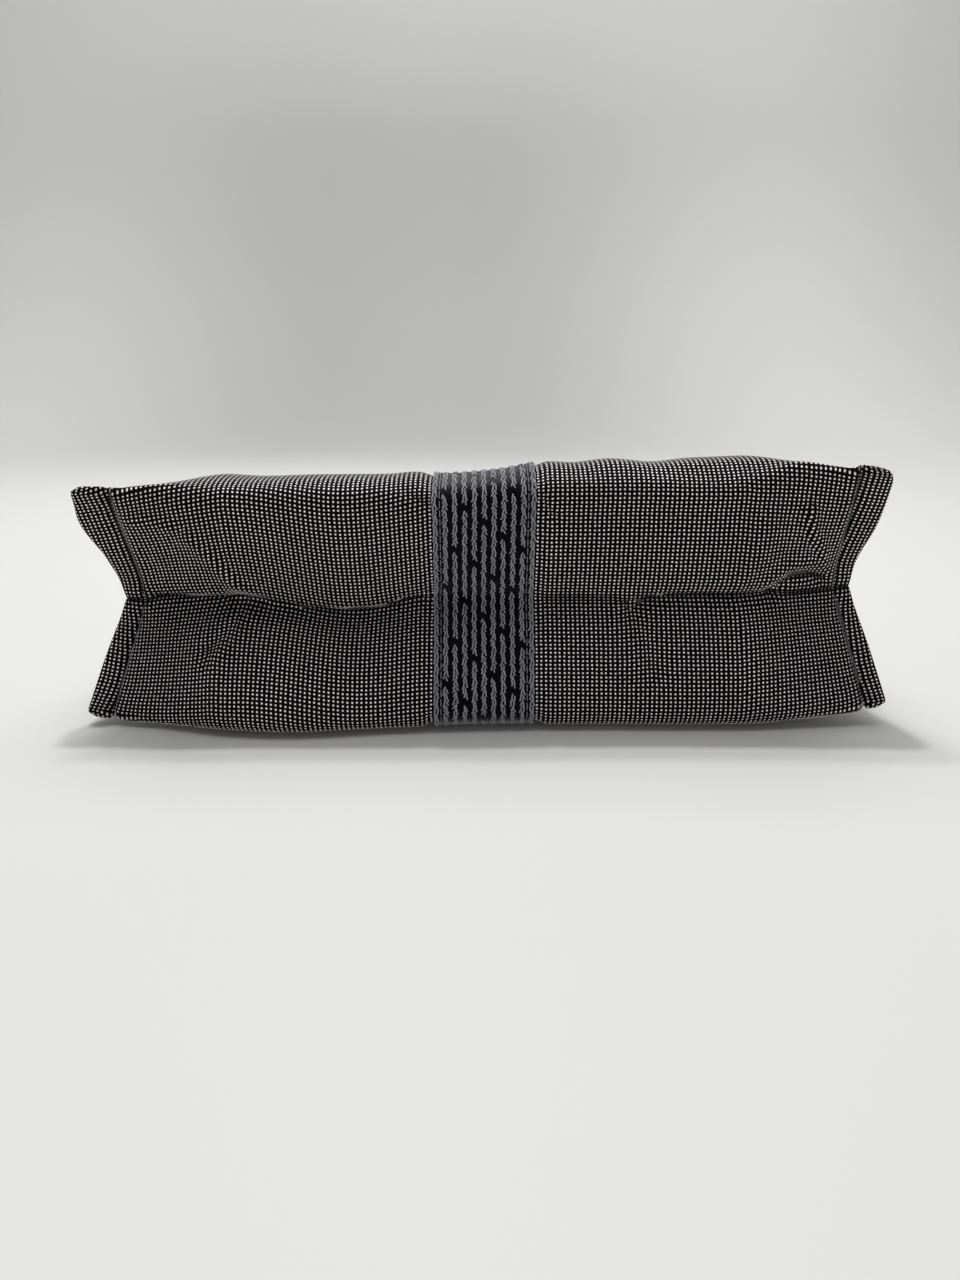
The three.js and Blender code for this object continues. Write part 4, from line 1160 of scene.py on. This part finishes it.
# Stops, slider and pull
# The resin stops end the slider's way. The slider is die-cast zinc in two plates round a wedge,
# with an arch on it that holds a flat pull, all nickel plated and lightly brushed.
def softened(node, name, width, finish):
    """A solid of the frame with its edges rounded off by a width in millimetres."""
    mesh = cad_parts[node].data.copy()
    mesh.name = name
    shape = bmesh.new()
    shape.from_mesh(mesh)
    bmesh.ops.remove_doubles(shape, verts=shape.verts, dist=0.00001)
    bmesh.ops.dissolve_limit(shape, angle_limit=math.radians(2), verts=shape.verts, edges=shape.edges)
    shape.to_mesh(mesh)
    shape.free()
    mesh.materials.clear()
    mesh.materials.append(finish)
    mesh.shade_smooth()
    piece = in_scene(name, mesh)
    edges = piece.modifiers.new("rounded edges", "BEVEL")
    edges.width = width * MM
    edges.segments = 3
    edges.limit_method = "ANGLE"
    edges.angle_limit = math.radians(25)
    edges.use_clamp_overlap = True
    shading = piece.modifiers.new("even shading", "WEIGHTED_NORMAL")
    shading.keep_sharp = True
    return piece


def nickel_plate():
    n = Nodes("brushed_nickel")
    stretched = put(n.tree, "ShaderNodeMapping", Vector=n.place(), Scale=(60.0, 900.0, 900.0))
    brushed = n.noise(3.0, 4.0, 0.6, stretched.outputs[0])
    touched = n.noise(220.0, 3.0)
    n.set(Base_Color=n.blend(touched, (0.56, 0.55, 0.53, 1), (0.7, 0.69, 0.67, 1)), Metallic=1.0)
    rough = n.math("ADD", n.ramp(brushed, 0.3, 0.7, 0.2, 0.34), n.ramp(touched, 0.45, 0.8, 0.0, 0.14))
    n.set(Roughness=rough)
    n.raised(brushed, 0.00002, 0.6)
    return n.material


nickel = nickel_plate()
for node, name, width, finish, body, slot in (
    ("top_stop_front", "upper_stop_front", 0.25, resin_finish, "pouch", "resin"),
    ("top_stop_rear", "upper_stop_rear", 0.25, resin_finish, "pouch", "resin"),
    ("bottom_stop", "lower_stop", 0.35, resin_finish, "pouch", "resin"),
    ("slider_body", "slider_plates", 0.22, nickel, "slider", "metal"),
    ("slider_bail", "slider_arch", 0.3, nickel, "slider", "metal"),
    ("pull_tab", "pull", 0.3, nickel, "pull", "metal"),
):
    piece = softened(node, name, width, finish)
    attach(piece, body)
    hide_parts(node)


# Camera, floor and light
# A phone held a little above the table looks down at the base.
CAMERA_BACK = 518.0
CAMERA_UP = 141.0
CAMERA_ASIDE = -1.5
CAMERA_PITCH = 17.0
HALF_VIEW = 0.6656  # half the picture's height at a distance of one
SENSOR = 36.0
camera_data = bpy.data.cameras.new("camera")
camera_data.sensor_fit = "VERTICAL"
camera_data.sensor_height = SENSOR
camera_data.lens = SENSOR / (2 * HALF_VIEW)
camera = in_scene("camera", camera_data)
camera.location = place_of_zip + np.array([CAMERA_ASIDE, -CAMERA_BACK, CAMERA_UP]) * MM
camera.rotation_euler = (math.radians(90 - CAMERA_PITCH), 0, 0)
bpy.context.scene.camera = camera

# The room is in metres.
TABLE_FRONT = -2.2
TABLE_END = 0.9
TABLE_SIDE = 3.0
WALL_BEND = 0.5
WALL_TOP = 2.4
# Where the painted shadow on the wall is centred, across the room.
WALL_SHADOW_MIDDLE = -0.12


def make_floor():
    """A pale table top that rises far behind into a wall, with a painted shadow that darkens the wall in its
    middle.
    """
    profile = [(TABLE_FRONT, 0.0), (TABLE_END, 0.0)]
    for turn in np.linspace(0.1, math.pi / 2, 12):
        profile.append((TABLE_END + WALL_BEND * math.sin(turn), WALL_BEND - WALL_BEND * math.cos(turn)))
    profile.append((TABLE_END + WALL_BEND, WALL_TOP))
    points = [(x, y, z) for x in (-TABLE_SIDE, TABLE_SIDE) for y, z in profile]
    mesh = bpy.data.meshes.new("floor")
    mesh.from_pydata(points, [], grid_faces(2, len(profile)))
    mesh.shade_smooth()
    n = Nodes("pale_table")
    x, y, z = n.parts(n.place())
    back = n.ramp(y, 0.45, 1.1)
    aside = n.math("ABSOLUTE", n.math("SUBTRACT", x, WALL_SHADOW_MIDDLE))
    # Painted shadow: the wall is darker in its middle, most of all low down.
    painted_wall_shadow = n.math("MULTIPLY", n.ramp(aside, 0.75, 0.1), n.ramp(z, 0.75, 0.25, 0.4, 1.0))
    wall = n.blend(painted_wall_shadow, (0.72, 0.72, 0.705, 1), (0.43, 0.43, 0.425, 1))
    n.set(Base_Color=n.blend(back, (0.652, 0.652, 0.637, 1), wall), Roughness=0.6)
    mesh.materials.append(n.material)
    table = in_scene("floor", mesh)


make_floor()


def soft_light(name, size, place, aim, watts):
    data = bpy.data.lights.new(name, "AREA")
    data.shape = "RECTANGLE"
    data.size, data.size_y = size
    data.energy = watts
    lamp = in_scene(name, data)
    lamp.location = place
    lamp.rotation_euler = (Vector(aim) - Vector(place)).to_track_quat("-Z", "Y").to_euler()


soft_light("lamp_near", size=(0.1, 0.06), place=(-0.05, 0.32, 1.5), aim=(0, -0.1, 0), watts=8)
soft_light("lamp_far", size=(0.3, 0.08), place=(-0.2, 0.5, 1.5), aim=(0, -0.1, 0), watts=6)
soft_light("ceiling", size=(1.8, 1.6), place=(0.0, 0.35, 1.5), aim=(0, 0, 0), watts=19.5)
soft_light("room_in_front", size=(1.4, 0.3), place=(0.1, -1.4, 0.2), aim=(0, 0, 0.06), watts=3.5)

world = bpy.data.worlds.new("room")
world.use_nodes = True
sky = world.node_tree.nodes["Background"].inputs
sky["Color"].default_value = (1.0, 1.0, 0.99, 1)
sky["Strength"].default_value = 0.13
bpy.context.scene.world = world
bpy.context.scene.view_settings.view_transform = "Standard"
